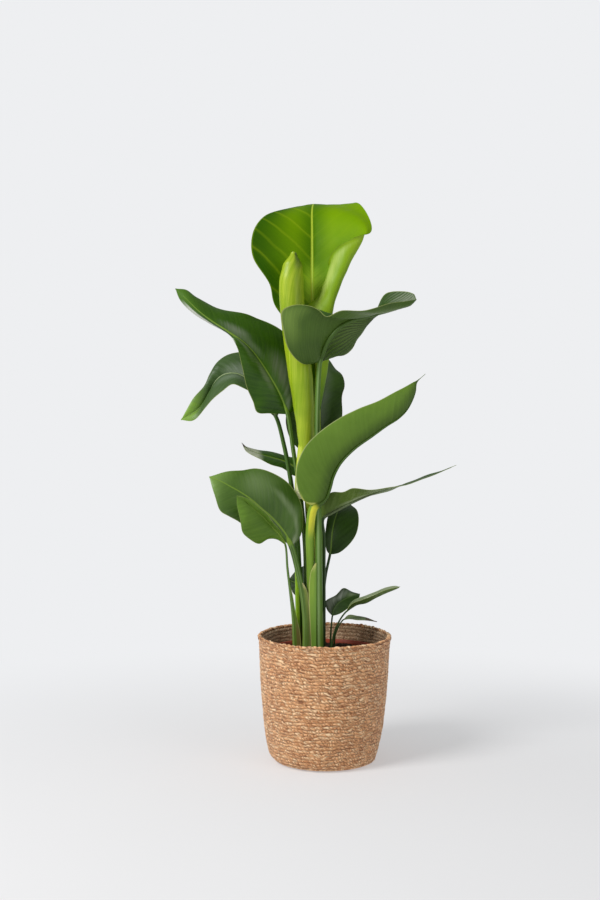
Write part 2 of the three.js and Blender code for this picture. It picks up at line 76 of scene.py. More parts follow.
LEAVES = [
  {
    "name": "leaf_crown_open", "thick": [6, 6, 7, 6.5], "bow": [0, -6],
    "stalk": [[-6, 27, 208], [-8, 28, 330], [-9, 29, 430], [-10, 30, 530]],
    "rib": [
      [-14, 30, 647], [-17, 32, 766], [-22, 36, 871], [-24, 42, 925], [-24, 48, 980], [-24, 56, 1033],
      [-24, 76, 1078], [-21, 112, 1102], [-19, 150, 1104], [-16, 196, 1087],
    ],
    "left": [
      [-38, 38, 802], [-98, 30, 884], [-108, 24, 924], [-140, 10, 975], [-141, 12, 1020], [-121, 40, 1059],
      [-72, 92, 1089], [-52, 144, 1099],
    ],
    "fold": [
      [8, 18, 771], [16, 4, 867], [33, 4, 921], [51, 6, 965], [68, 12, 1009], [55, 44, 1064],
      [27, 98, 1097], [21, 145, 1103],
    ],
    "right": [
      [-9, 4, 765], [-30, -14, 878], [0, -20, 923], [9, -24, 965], [53, -12, 998], [92, 16, 1027],
      [71, 78, 1095], [41, 135, 1100],
    ],
  },
  {
    "name": "leaf_dark_mid", "thick": [11, 8.3, 6.5, 5, 4.5], "bow": [-6, -8],
    "stalk": [
      [-11, -12, 208], [-11.5, -13, 305], [-12, -14, 400], [-13, -16, 482], [-14, -18, 559],
      [-15, -22, 636], [-14, -28, 705],
    ],
    "rib": [
      [-10, -34, 766], [-5, -38, 785], [3, -44, 804], [15, -50, 820], [30, -54, 834], [49, -55, 844],
      [71, -52, 850], [98, -46, 857], [125, -40, 864], [149, -33, 872], [165, -27, 878], [176, -22, 887],
    ],
    "left": [
      [23, -25, 777], [39, -15, 782], [53, -8, 794], [63, -5, 815], [74, -8, 828], [89, -10, 846],
      [102, 10, 873], [121, 20, 905], [154, 15, 910], [172, 0, 902],
    ],
    "right": [
      [-42, -52, 762], [-69, -72, 786], [-79, -82, 820], [-82, -84, 857], [-61, -86, 868], [-36, -90, 865],
      [-14, -95, 857], [1, -98, 846], [28, -104, 856], [74, -98, 858], [120, -80, 872], [151, -55, 880],
    ],
  },
  {
    "name": "leaf_left_upper", "thick": [5, 4.5, 4.2], "bow": [4, 4],
    "stalk": [[-37, 11, 208], [-37, 11, 306], [-37, 9, 384], [-41, 9, 450], [-49, 10, 525], [-60, 12, 590]],
    "rib": [
      [-72, 12, 668], [-80, 12, 690], [-89, 10, 711], [-103, 7, 736], [-120, 3, 763], [-141, -2, 791],
      [-162, -8, 811], [-187, -14, 828], [-216, -19, 846], [-242, -22, 865], [-265, -22, 887],
      [-288, -17, 909],
    ],
    "left": [
      [-107, 2, 669], [-131, -6, 671], [-139, -10, 692], [-152, -16, 722], [-160, -22, 760],
      [-169, -20, 795], [-182, -8, 817], [-201, -2, 832], [-226, -4, 845], [-253, -8, 862],
      [-279, -14, 886],
    ],
    "right": [
      [-56, 22, 679], [-46, 36, 713], [-44, 46, 757], [-54, 52, 801], [-80, 50, 833], [-114, 44, 853],
      [-139, 36, 861], [-166, 26, 867], [-212, 10, 876], [-246, -4, 894], [-266, -12, 907],
    ],
  },
  {
    "name": "leaf_left_behind", "thick": [7.5, 7.8, 7, 4.5, 4], "bow": [3, 5],
    "stalk": [[-48, 1, 208], [-50, 1, 306], [-52, 1, 380], [-59, 7, 481], [-68, 15, 550], [-80, 23, 610]],
    "rib": [
      [-94, 30, 661], [-111, 38, 689], [-132, 48, 715], [-152, 60, 738], [-174, 68, 751], [-197, 72, 751],
      [-213, 72, 742], [-225, 70, 725], [-235, 66, 704], [-252, 60, 680], [-285, 52, 658],
    ],
    "left": [
      [-105, 26, 669], [-132, 22, 702], [-162, 22, 722], [-180, 26, 727], [-198, 32, 716], [-220, 38, 699],
      [-236, 42, 681], [-249, 46, 667], [-263, 50, 656],
    ],
    "right": [
      [-80, 54, 702], [-94, 75, 755], [-125, 92, 789], [-160, 100, 797], [-193, 98, 793], [-215, 88, 777],
      [-230, 76, 752], [-241, 66, 726], [-262, 60, 700],
    ],
  },
  {
    "name": "leaf_right_behind", "thick": [5, 4.5], "bow": [3, 3],
    "stalk": [[-24, 25, 208], [-22, 28, 303], [-20, 33, 381], [-18, 39, 480]],
    "rib": [
      [-16, 46, 578], [-16, 54, 618], [-16, 62, 658], [-18, 78, 703], [-19, 104, 745], [-23, 140, 781],
      [-25, 180, 805], [-27, 212, 819],
    ],
    "left": [
      [-62, 42, 612], [-76, 50, 650], [-72, 64, 690], [-68, 90, 730], [-56, 130, 771], [-44, 176, 800],
    ],
    "right": [[27, 42, 622], [36, 46, 664], [36, 60, 702], [42, 80, 735], [22, 120, 771], [-6, 170, 798]],
  },
  {
    "name": "leaf_right_big", "thick": [6.8, 7.2, 8.2, 9.4], "bow": [0, -5],
    "stalk": [[-28, -1, 208], [-28, -3, 308], [-28.5, -9, 380], [-29, -17, 440]],
    "rib": [
      [-21, -28, 489], [-1, -33, 503], [8, -40, 525], [14, -48, 547], [28, -60, 574], [54, -68, 601],
      [86, -76, 624], [114, -80, 644], [135, -80, 657], [151, -76, 672], [162, -72, 690], [169, -69, 708],
      [172, -66, 725], [188, -62, 741],
    ],
    "left": [
      [-37, -34, 506], [-44, -38, 539], [-41, -36, 566], [-25, -34, 600], [-6, -30, 623], [34, -32, 654],
      [72, -36, 671], [106, -42, 684], [134, -48, 697], [155, -54, 710], [168, -60, 722], [173, -63, 728],
    ],
    "right": [
      [-44, -46, 505], [-55, -60, 539], [-54, -68, 568], [-39, -76, 603], [-16, -84, 628], [23, -92, 656],
      [61, -96, 675], [97, -94, 689], [127, -88, 705], [148, -80, 716], [164, -72, 725], [172, -68, 729],
    ],
  },
  {
    "name": "leaf_right_thin", "thick": [3.2, 3], "bow": [-2, -2],
    "stalk": [[-1, 6, 208], [-1, 6, 306], [-1, 6, 380], [-1, 4, 430]],
    "rib": [
      [-3, 2, 464], [13, -4, 477], [33, -12, 488], [52, -20, 498], [71, -28, 507], [93, -36, 516],
      [120, -42, 525], [152, -45, 534], [186, -43, 545], [219, -37, 556], [251, -30, 569],
    ],
    "left": [
      [11, 10, 485], [30, 18, 494], [54, 20, 502], [77, 14, 508], [104, 4, 514], [134, -8, 524],
      [162, -20, 535], [193, -30, 549], [224, -32, 559],
    ],
    "right": [
      [-8, 0, 492], [12, -24, 516], [35, -43, 519], [52, -54, 526], [85, -64, 524], [119, -66, 526],
      [152, -62, 532], [187, -54, 544], [220, -43, 556],
    ],
  },
  {
    "name": "leaf_right_low", "thick": [3, 2.6], "bow": [2, 2],
    "stalk": [[-1, 18, 208], [-2, 18, 304], [2, 20, 350]],
    "rib": [
      [11, 26, 392], [13, 28, 405], [14, 32, 420], [16, 38, 438], [20, 48, 455], [26, 62, 471],
      [35, 84, 485], [46, 112, 496],
    ],
    "left": [[5, 25, 399], [2, 28, 415], [2, 33, 432], [4, 43, 449], [8, 58, 466], [21, 82, 482]],
    "right": [[29, 24, 396], [51, 28, 414], [64, 36, 434], [69, 48, 457], [67, 66, 474], [56, 90, 486]],
  },
  {
    "name": "leaf_left_low", "thick": [5.2, 5.5, 5.5], "bow": [3, 3],
    "stalk": [[-38, -12, 208], [-38, -12, 269], [-43, -13, 318], [-52, -16, 365]],
    "rib": [
      [-64, -21, 411], [-75, -24, 435], [-87, -28, 452], [-103, -33, 470], [-121, -37, 486],
      [-140, -40, 503], [-160, -42, 517], [-181, -43, 529], [-202, -41, 540], [-221, -39, 547],
    ],
    "left": [
      [-75, -22, 420], [-94, -27, 433], [-123, -36, 445], [-147, -44, 449], [-166, -50, 463],
      [-182, -54, 472], [-199, -56, 483], [-211, -50, 515],
    ],
    "right": [
      [-47, -16, 432], [-42, -13, 463], [-50, -10, 502], [-74, -9, 537], [-106, -10, 556], [-135, -13, 563],
      [-162, -19, 559], [-192, -29, 555],
    ],
  },
  {
    "name": "leaf_left_front", "thick": [4.3, 3, 2], "bow": [-3, -6],
    "stalk": [[-59, -13, 208], [-61, -14, 270], [-66, -18, 320], [-72, -24, 370]],
    "rib": [
      [-76, -30, 416], [-84, -42, 432], [-95, -56, 447], [-106, -66, 460], [-119, -78, 475],
      [-132, -90, 487], [-144, -100, 499], [-155, -109, 508], [-164, -116, 514],
    ],
    "left": [
      [-83, -48, 440], [-88, -64, 450], [-98, -78, 462], [-109, -90, 479], [-125, -100, 493],
      [-140, -109, 506], [-153, -115, 512],
    ],
    "right": [
      [-92, -44, 428], [-108, -58, 430], [-125, -66, 422], [-142, -78, 431], [-155, -88, 444],
      [-159, -97, 470], [-164, -107, 497],
    ],
  },
  {
    "name": "leaf_left_small", "thick": [3, 2.5], "bow": [2, 2],
    "stalk": [[-36, 29, 208], [-34, 34, 301], [-33, 38, 380], [-35, 44, 470]],
    "rib": [
      [-42, 50, 546], [-56, 54, 562], [-78, 58, 575], [-104, 62, 583], [-128, 64, 590], [-148, 62, 598],
      [-164, 58, 612],
    ],
    "left": [[-60, 44, 547], [-82, 42, 562], [-105, 44, 568], [-126, 48, 579], [-156, 54, 596]],
    "right": [[-52, 66, 578], [-78, 74, 586], [-109, 78, 595], [-135, 76, 599], [-158, 64, 606]],
  },
  {
    "name": "leaf_back_low", "thick": [2.5, 2], "bow": [2, 2],
    "stalk": [[-22, 42, 208], [-12, 48, 260]],
    "rib": [[-4, 58, 318], [-20, 64, 329], [-40, 70, 333], [-58, 74, 332], [-71, 78, 336]],
    "left": [[-16, 56, 305], [-38, 60, 298], [-60, 68, 309]],
    "right": [[-12, 72, 357], [-36, 82, 364], [-56, 82, 354]],
  },
  {
    "name": "leaf_side_broad", "thick": [2.4, 1.6], "bow": [1, 1],
    "stalk": [[11, -3, 208], [12, 0, 244]],
    "rib": [
      [15, 2, 275], [18, 5, 288], [26, 9, 298], [37, 13, 305], [50, 18, 310], [61, 24, 313], [70, 30, 314],
    ],
    "left": [[5, 16, 285], [2, 26, 299], [23, 26, 312], [38, 32, 325], [55, 32, 318]],
    "right": [[28, 0, 279], [39, 2, 285], [49, 5, 293], [59, 10, 301], [68, 17, 309]],
  },
  {
    "name": "leaf_side_narrow", "thick": [2.8, 1.8], "bow": [-1, -1],
    "stalk": [[13, -11, 212], [17, -12, 240], [26, -15, 265]],
    "rib": [
      [40, -19, 286], [59, -27, 302], [78, -34, 307], [96, -39, 317], [115, -43, 326], [132, -46, 333],
      [142, -47, 338],
    ],
    "left": [[54, -16, 307], [78, -22, 318], [96, -28, 326], [115, -34, 335], [133, -40, 339]],
    "right": [[51, -34, 304], [74, -46, 315], [92, -50, 323], [111, -51, 331], [130, -50, 336]],
  },
  {
    "name": "leaf_side_withered", "thick": [2.5, 1.4], "bow": [-1, -1],
    "stalk": [[19, 7, 208], [21, 5, 239]],
    "rib": [[36, 0, 268], [49, -4, 273], [64, -9, 273], [79, -15, 272], [100, -24, 268]],
    "left": [[47, 3, 277], [63, -2, 276], [80, -10, 274]],
    "right": [[49, -10, 271], [62, -16, 270], [79, -20, 270]],
  },
]
SPEAR = {
    "thick": 6,
    "stalk": [[-15, 10, 208], [-16, 9, 308], [-21, 8, 384], [-26, 6, 450]],
    "axis": [
        [-31, 4, 500], [-34, 3, 545], [-35, 1, 600], [-37, 0, 640], [-41, -1, 690], [-47, -3, 745],
        [-55, -4, 805], [-62, -5, 870], [-65, -6, 925], [-63, -6, 952], [-59, -6, 976],
    ],
    "radius": [8, 12, 14.5, 17, 20.5, 23.5, 23.5, 23.5, 23.8, 20, 8],
    "step": 2.2,
    "turn": [20, 250],
    "slant": 40,
}

# ---- curves and meshes -------------------------------------------------------------------------------


def unit(v):
    return v / np.maximum(np.linalg.norm(v, axis=-1, keepdims=True), 1e-9)


def smooth(x, low, high):
    """0 below low, 1 above high, and eased between them."""
    t = np.clip((x - low) / (high - low), 0, 1)
    return t * t * (3 - 2 * t)


def along(values, t):
    """The value of a list at shares t of its length, eased between its entries."""
    at = np.clip(t, 0, 1) * (len(values) - 1)
    i = np.minimum(at.astype(int), len(values) - 2)
    values, f = np.array(values, float), smooth(at - i, 0, 1)
    return values[i] * (1 - f) + values[i + 1] * f


def pair(a, b):
    """Two arrays of numbers as one array of pairs."""
    return np.stack(np.broadcast_arrays(a, b), -1).astype(float)


def polar(reach, angle, z):
    """Points from their distance to the Z axis, their angle round it and their height."""
    return np.stack(np.broadcast_arrays(reach * np.cos(angle), reach * np.sin(angle), z), -1)


def circle(steps):
    """The angles of a full turn in equal steps, with the first one again at the end."""
    return np.linspace(0, 2 * pi, steps + 1)


def normals_of(sheet):
    down, right = np.gradient(sheet, axis=0), np.gradient(sheet, axis=1)
    return unit(np.cross(right, down))


def run_lengths(points, axis=0):
    """The distance gone along an axis of a grid of points, from its first point."""
    steps = np.linalg.norm(np.diff(points, axis=axis), axis=-1)
    pad = [(0, 0)] * steps.ndim
    pad[axis] = (1, 0)
    return np.cumsum(np.pad(steps, pad), axis=axis)


class Spline:
    """The centripetal Catmull-Rom curve through points, read at shares of its spans."""

    def __init__(self, points):
        p = np.array(points, float)
        self.points = np.vstack([2 * p[0] - p[1], p, 2 * p[-1] - p[-2]])
        self.spans = len(p) - 1

    def at(self, u):
        place = np.clip(np.atleast_1d(u), 0, 1) * self.spans
        i = np.minimum(place.astype(int), self.spans - 1)
        w = (place - i)[:, None]
        a, b, c, d = (self.points[i + k] for k in range(4))
        before, here, after = (
            np.sum((q - p) ** 2, axis=1, keepdims=True) ** 0.25 for p, q in ((a, b), (b, c), (c, d))
        )
        leave = ((b - a) / before - (c - a) / (before + here) + (c - b) / here) * here
        arrive = ((c - b) / here - (d - b) / (here + after) + (d - c) / after) * here
        square = 3 * c - 3 * b - 2 * leave - arrive
        return b + leave * w + square * w**2 + (2 * b - 2 * c + leave + arrive) * w**3

    def towards(self, u):
        return unit(self.at(np.minimum(u + 1e-4, 1)) - self.at(np.maximum(u - 1e-4, 0)))


class Body:
    """Gathers grids of points into one mesh with two UV maps: size (metres or twists) and place (shares)."""

    def __init__(self):
        self.points, self.faces, self.place, self.size = [], [], [], []
        self.skins, self.sharp, self.count = [], [], 0

    def grid(self, points, size=(0, 0), place=None, skin=0, flip=False):
        """A sheet of rows by columns of points. size and place hold two numbers for each point."""
        m, n = points.shape[:2]
        ids = self.count + np.arange(m * n).reshape(m, n)
        quads = np.stack([ids[:-1, :-1], ids[:-1, 1:], ids[1:, 1:], ids[1:, :-1]], -1).reshape(-1, 4)
        self.points.append(points.reshape(-1, 3))
        for uv, values in ((self.size, size), (self.place, size if place is None else place)):
            uv.append(np.broadcast_to(values, (m, n, 2)).reshape(-1, 2))
        self.add_faces(quads[:, ::-1] if flip else quads, skin)
        self.count += m * n
        return ids

    def add_faces(self, quads, skin):
        self.faces.append(quads)
        self.skins.append(np.full(len(quads), skin))

    def slab(self, sheet, size, place, over, under, under_skin=0):
        """A thin sheet, with a face this far over it and one under it, and hard edges all round."""
        normal = normals_of(sheet)
        top = self.grid(sheet + normal * over, size, place)
        back = self.grid(sheet - normal * under, size, place, under_skin, flip=True)
        for first, second in (
            (top[:, 0], back[:, 0]), (back[:, -1], top[:, -1]), (back[0], top[0]), (top[-1], back[-1]),
        ):
            self.add_faces(np.stack([first[:-1], first[1:], second[1:], second[:-1]], -1), 0)
            for run in (first, second):
                self.sharp.append(np.stack([run[:-1], run[1:]], -1))

    def join(self, name, materials, slot, node=None, weld=0.0):
        """The mesh as a piece that rides on the object, and stands for node where one is named."""
        points, faces = np.vstack(self.points) * MM, np.vstack(self.faces)
        mesh = bpy.data.meshes.new(name)
        mesh.from_pydata(points, [], faces, shade_flat=False)
        mesh.polygons.foreach_set("material_index", np.concatenate(self.skins))
        for label, values in (("place", self.place), ("size", self.size)):
            layer = mesh.uv_layers.new(name=label)
            layer.data.foreach_set("uv", np.vstack(values)[faces.ravel()].ravel())
        if self.sharp:
            wanted = {tuple(sorted(ends)) for ends in np.vstack(self.sharp).tolist()}
            edges = np.zeros(len(mesh.edges) * 2, int)
            mesh.edges.foreach_get("vertices", edges)
            hard = [tuple(sorted(ends)) in wanted for ends in edges.reshape(-1, 2).tolist()]
            mesh.attributes.new("sharp_edge", "BOOLEAN", "EDGE").data.foreach_set("value", hard)
        for material in materials:
            mesh.materials.append(material)
        if weld:
            work = bmesh.new()
            work.from_mesh(mesh)
            bmesh.ops.remove_doubles(work, verts=work.verts, dist=weld * MM)
            work.to_mesh(mesh)
            work.free()
        piece = bpy.data.objects.new(name, mesh)
        bpy.context.scene.collection.objects.link(piece)
        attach(piece, "root")
        if node:
            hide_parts(node)


# ---- leaves ------------------------------------------------------------------------------------------

BLADE = 0.6  # thickness of a blade
PIN = 0.02  # a blade's ends narrow to points, and their direction is read this far inside
BOWED = 40  # a half as wide as this bows by its full amount
RIB_END = 0.97  # the midrib's relief stops at this share of the blade
STALK_SIDES = 22


def buried(stalk):
    """The stalk with its foot, which stands upright in the soil."""
    x, y, _ = stalk[0]
    return [[x, y, SOIL["top"] - SOIL["depth"]], [x, y, SOIL["top"] - SOIL["depth"] / 2], *stalk]


def curves_of(leaf):
    """The midline from the soil to the tip, where the blade begins on it, its margins and its fold."""
    stalk, rib = buried(leaf["stalk"]), leaf["rib"]
    left, right, fold = (
        Spline([rib[0], *leaf[side], rib[-1]]) if side in leaf else None
        for side in ("left", "right", "fold")
    )
    return Spline(stalk + rib), len(stalk) / (len(stalk + rib) - 1), (left, right), fold


def half_blade(leaf, side, t, s):
    """The points of one half at shares t along the rib and s from the rib to the margin, and the reach."""
    midline, begins, ends, fold = curves_of(leaf)
    u = begins + (1 - begins) * t
    rib, forward = midline.at(u), midline.towards(u)
    inside = np.clip(t, PIN, 1 - PIN)
    across = ends[side].at(inside) - midline.at(begins + (1 - begins) * inside)
    reach = ends[side].at(t) - rib
    short = np.linalg.norm(reach, axis=1) < 1
    reach[short] = unit(across[short])
    up = unit(np.cross(forward, reach) if side == 0 else np.cross(reach, forward))
    width = np.linalg.norm(reach, axis=1, keepdims=True)
    middle = reach * 0.5 + up * leaf["bow"][side] * np.minimum(width / BOWED, 1)
    if fold and side == 1:
        middle = fold.at(t) - rib
    s = s[None, :, None]
    return rib[:, None] + middle[:, None] * 4 * s * (1 - s) + reach[:, None] * s * (2 * s - 1), width


def curl(half, t, s, span, starts, turn):
    """Rolls the outer part of a half through turn degrees about the leaf's length.

    span: the shares of the length it covers. starts: the shares across where it begins, at both its ends.
    """
    axis = unit(np.gradient(half, axis=0))
    low, high = span
    start = np.interp(t, span, starts)
    hinge = np.array([[np.interp(a, s, row[:, k]) for k in range(3)] for a, row in zip(start, half)])
    hinge, start = hinge[:, None], start[:, None]
    amount = smooth(t, low, low + 0.12) * (1 - smooth(t, high - 0.22, high))
    angle = math.radians(turn) * amount[:, None] * np.clip((s[None] - start) / (1 - start), 0, 1)
    arm, outer = half - hinge, (s[None] > start)[..., None]
    sine, cosine = np.sin(angle)[..., None], np.cos(angle)[..., None]
    along_axis = axis * np.sum(axis * arm, axis=-1, keepdims=True)
    turned = hinge + arm * cosine + np.cross(axis, arm) * sine + along_axis * (1 - cosine)
    return np.where(outer, turned, half)


def blade_sheet(leaf, grid, phase, curls, wave, ripple, pleat, slope, folds):
    """The blade's middle sheet with its waves, pleats and channel, and its place and size maps."""
    midline, begins, _, _ = curves_of(leaf)
    rows, steps = grid
    t = np.linspace(0, 1, rows + 1)
    s = np.linspace(0, 1, steps + 1) ** 0.9
    (left, left_width), (right, right_width) = (half_blade(leaf, side, t, s) for side in (0, 1))
    if curls:
        right = curl(right, t, s, *curls)
    sheet = np.concatenate([left[:, :0:-1], right], axis=1)
    share = np.concatenate([-s[:0:-1], s])[None, :] * np.ones((rows + 1, 1))
    across = run_lengths(sheet, 1)
    across = across - across[:, steps : steps + 1]
    length = run_lengths(midline.at(begins + (1 - begins) * t)[:, None])
    far, length = np.abs(across), np.broadcast_to(length, across.shape)
    width = np.where(share < 0, left_width, right_width)
    ends = np.minimum(smooth(t, 0, 0.12), 1 - smooth(t, 0.9, 1))[:, None]
    edge = ripple * np.abs(share) ** 3 * np.minimum(width / 35, 1)
    waves = np.sin(length / wave + phase + 1.7 * (share > 0))
    waves += 0.6 * np.sin(length / 9.5 + 2 * phase + share)
    pleats = 0.22 * np.sin(2 * pi * (length - slope * far) / pleat) * np.where(share < 0, *folds)
    pleats *= smooth(far, 3, 14) * (1 - np.abs(share) ** 6)
    channel = 0.5 * np.exp(-((far / 2.2) ** 2))
    sheet = sheet + normals_of(sheet) * ((edge * waves + pleats - channel) * ends)[..., None]
    return sheet, pair(across, length) * MM, pair(0.5 + 0.5 * share, t[:, None])


def stalk_rings(leaf, rings, keel):
    """The leaf stalk and the midrib as one tapering tube with a channel along its upper side."""
    midline, begins, ends, _ = curves_of(leaf)
    u = np.linspace(0, begins + (1 - begins) * RIB_END, rings + 1)
    t = np.clip((u - begins) / (1 - begins), 0, 1)
    forward, centre = midline.towards(u), midline.at(u)
    side = np.zeros_like(centre)
    turning = ends[0].at(0.2)[0] - ends[1].at(0.2)[0]
    for i, share in enumerate(t):
        if share > 0:
            width = unit(ends[0].at(share)[0] - ends[1].at(share)[0])
            turning = turning + (width - turning) * min(share * 4, 1)
        side[i] = turning
    up = unit(np.cross(forward, side))
    left = np.cross(up, forward)
    taper = np.maximum(leaf["thick"][-1] * (1 - t) ** 0.9, 0.5)
    taper *= 1 + (keel - 1) * smooth(t, 0, 0.08)
    r = np.where(t > 0, taper, along(leaf["thick"], u / begins))[:, None]
    centre = centre - up * 0.86 * r * np.minimum(t * 10, 1)[:, None]
    angle = circle(STALK_SIDES)
    channel = 0.3 * np.exp(-(((angle - pi / 2) / 0.5) ** 2)) * (1 - 0.7 * smooth(t, 0, 0.05))[:, None]
    out = left[:, None] * np.cos(angle)[:, None] + up[:, None] * np.sin(angle)[:, None]
    points = centre[:, None] + out * (r * (1 - channel))[..., None]
    size = pair(angle * r, run_lengths(centre[:, None])) * MM
    return points, size, pair(angle / (2 * pi), t[:, None])


def leaf_piece(
    leaf, upper, under, stalk, grid, phase=0.0, slot="leaf", rings=90, curls=None, wave=21, ripple=0.9,
    pleat=13, slope=0.9, folds=(1, 1), keel=1.0, pale_back_and_highlight=None, **tissue,
):
    """One leaf. upper, under: the colours of its two sides. stalk: its stalk's skin.

    grid: rows along the blade, and columns across each half. phase: where its waves begin.
    ripple: the height of the margin's waves. wave, pleat: how long waves and pleats are.
    folds: how deep the pleats are on the left and right half. slope: how steeply they run to the tip.
    keel: how thick the midrib is below the blade. pale_back_and_highlight, tissue: see blade_skin.
    """
    name, body = leaf["name"], Body()
    sheet, size, place = blade_sheet(leaf, grid, phase, curls, wave, ripple, pleat, slope, folds)
    body.slab(sheet, size, place, BLADE / 2, BLADE / 2, under_skin=1)
    body.grid(*stalk_rings(leaf, rings, keel), skin=2)
    front = {"specular": 0.42, "roughness": 0.38, **tissue}
    back = {**tissue, "specular": 0.25, "roughness": 0.5}
    body.join(name.replace("leaf_", "foliage_"), [
        blade_skin(name + "_upper", *upper, slope, pale_back_and_highlight=pale_back_and_highlight, **front),
        blade_skin(name + "_under", *under, slope, **back), stalk,
    ], slot, name)


SPEAR_ROWS, SPEAR_COLUMNS = 150, 99
WINDS = 1.8  # how often the rolled leaf is wound round itself
SPEAR_GIRTH = 20  # the radius that its streaks are scaled by


def spear_piece():
    """The rolled leaf: one long blade wound round itself, open at its slanted top."""
    line = buried(SPEAR["stalk"])
    curve = Spline(line + SPEAR["axis"])
    radii = [SPEAR["thick"]] * len(line) + SPEAR["radius"]
    begins = len(line) / (len(radii) - 1)
    wind = np.linspace(0, WINDS, SPEAR_COLUMNS + 1)
    u = np.linspace(0, 1, SPEAR_ROWS + 1)[:, None] * np.ones((1, len(wind)))
    t = np.clip((u - begins) / (1 - begins), 0, 1)
    low, high = SPEAR["turn"]
    angle = np.radians(low + (high - low) * t) + 2 * pi * wind
    cut = 0.012 * (1 - smooth(wind, 0.75, 1.05)) * (1 + np.cos(angle + math.radians(10)))
    u = u * (1 - cut * smooth(u, 0.8, 1))
    t = np.clip((u - begins) / (1 - begins), 0, 1)
    step = SPEAR["step"] * np.minimum(t * 5, 1)
    reach = np.maximum(along(radii, u) + step * (0.5 - wind), 0.8)
    centre = curve.at(u.ravel()).reshape(*u.shape, 3)
    rise = np.maximum(u - 0.86, 0) * SPEAR["slant"] * np.cos(angle - math.radians(245))
    length = run_lengths(curve.at(u[:, 0])[:, None])
    size = pair(wind * 2 * pi * SPEAR_GIRTH, length) * MM
    body = Body()
    body.slab(centre + polar(reach, angle, rise), size, pair(wind / WINDS, u), 0.05, 0.6, under_skin=1)
    # The inside of the roll has darker colours than its outside: painted shade inside the roll.
    body.join("foliage_spear_rolled", [
        spear_skin("leaf_spear", (138, 166, 8), (110, 146, 6), (178, 194, 52)),
        spear_skin("leaf_spear_inside", (84, 100, 24), (60, 80, 16), (120, 132, 50)),
    ], "leaf_spear", "leaf_spear_rolled")


# ---- sheaths -----------------------------------------------------------------------------------------

# Each sheath is a flange along one side of a stalk's foot: which side (-1 left, 1 right), how far in front
# of the stalk's axis its edge runs, its edge as picture x, picture y from tip to soil, and its colours.
SHEATHS = {
    "leaf_dark_mid": (
        -1, -1.5, [
            (316, 563), (313.2, 567), (311, 572), (309.6, 580), (308.9, 590), (309, 602), (309.8, 618),
            (310.6, 634), (311.5, 653),
        ], ((132, 160, 54), (112, 146, 46), (184, 184, 112), (100, 134, 46), (98, 134, 48)),
    ),
    "leaf_left_low": (
        1, -2, [
            (303, 583), (305, 586.5), (306.8, 590.5), (307.8, 595), (308.6, 602), (309.2, 612),
            (309.8, 628), (310.5, 653),
        ], ((140, 150, 70), (112, 134, 54), (204, 196, 140), (104, 124, 50), (94, 124, 44)),
    ),
    "leaf_left_front": (
        1, -1.5, [
            (290.6, 588), (292.3, 594), (293.7, 602), (295.2, 611), (297, 619), (298.6, 626), (300, 634),
            (301.6, 653),
        ], ((100, 130, 34), (80, 110, 26), (160, 166, 90), (106, 98, 46), (86, 122, 30)),
    ),
    "leaf_spear_rolled": (
        -1, -2, [(299.6, 440), (297.9, 449), (296.4, 465), (295.2, 480), (294.7, 490), (295, 499)],
        ((206, 214, 96), (190, 204, 66), (170, 192, 40), (232, 230, 186), (160, 184, 24)),
    ),
}
PICTURE_SCALE, PICTURE_X, PICTURE_Y = 1070, 300, 450  # the picture's focal length and centre, in pixels
ROUGH_HEIGHT = 1770  # less twice picture y, this is the height at which the stalk's depth is read


def sheath_piece(name, stalk, thick):
    """A thin flange that leaves the stalk's side at a tangent and ends in a free, pale edge."""
    side, ahead, edge, colors = SHEATHS[name]
    stalk = np.array(stalk, float)
    levels = np.linspace(stalk[0, 2], stalk[-1, 2] + 30, len(thick))
    steps = np.linspace(0, 1, 13)[:, None]
    rows = []
    for px, py, _ in Spline([(x, y, 0) for x, y in edge]).at(np.linspace(0, 1, 61)):
        depth = np.interp(ROUGH_HEIGHT - 2 * py, stalk[:, 2], stalk[:, 1])
        away = (depth + ahead - EYE[1] / MM) / PICTURE_SCALE
        x, z = (px - PICTURE_X) * away + EYE[0] / MM, EYE[2] / MM - (py - PICTURE_Y) * away
        axis = np.array([np.interp(z, stalk[:, 2], stalk[:, k]) for k in (0, 1)])
        r = np.interp(z, levels, thick) + 0.35
        start = axis + [side * r * 0.5, -r * 0.87]
        reach = side * max(side * (x - start[0]), 0.4)
        end = np.array([start[0] + reach, axis[1] + ahead])
        pull = start + [reach * 0.35, r * 0.1]
        flat = start * (1 - steps) ** 2 + 2 * pull * steps * (1 - steps) + end * steps**2
        rows.append(np.hstack([flat, np.full((len(flat), 1), z)]))
    sheet = np.array(rows)
    size = pair(run_lengths(sheet, 1), run_lengths(sheet)) * MM
    place = pair(steps.T, np.linspace(0, 1, len(sheet))[:, None])
    body = Body()
    body.slab(sheet, size, place, -BLADE / 2, -BLADE / 2)
    name = name.replace("leaf_", "sheath_")
    body.join(name, [sheath_skin(name, *colors)], "leaf")


# ---- materials ---------------------------------------------------------------------------------------


def rgb(red, green, blue):
    """A colour as a picture gives it, 0 to 255, in the linear numbers that Blender takes."""
    shares = (red / 255, green / 255, blue / 255)
    return (*(c / 12.92 if c <= 0.04045 else ((c + 0.055) / 1.055) ** 2.4 for c in shares), 1.0)


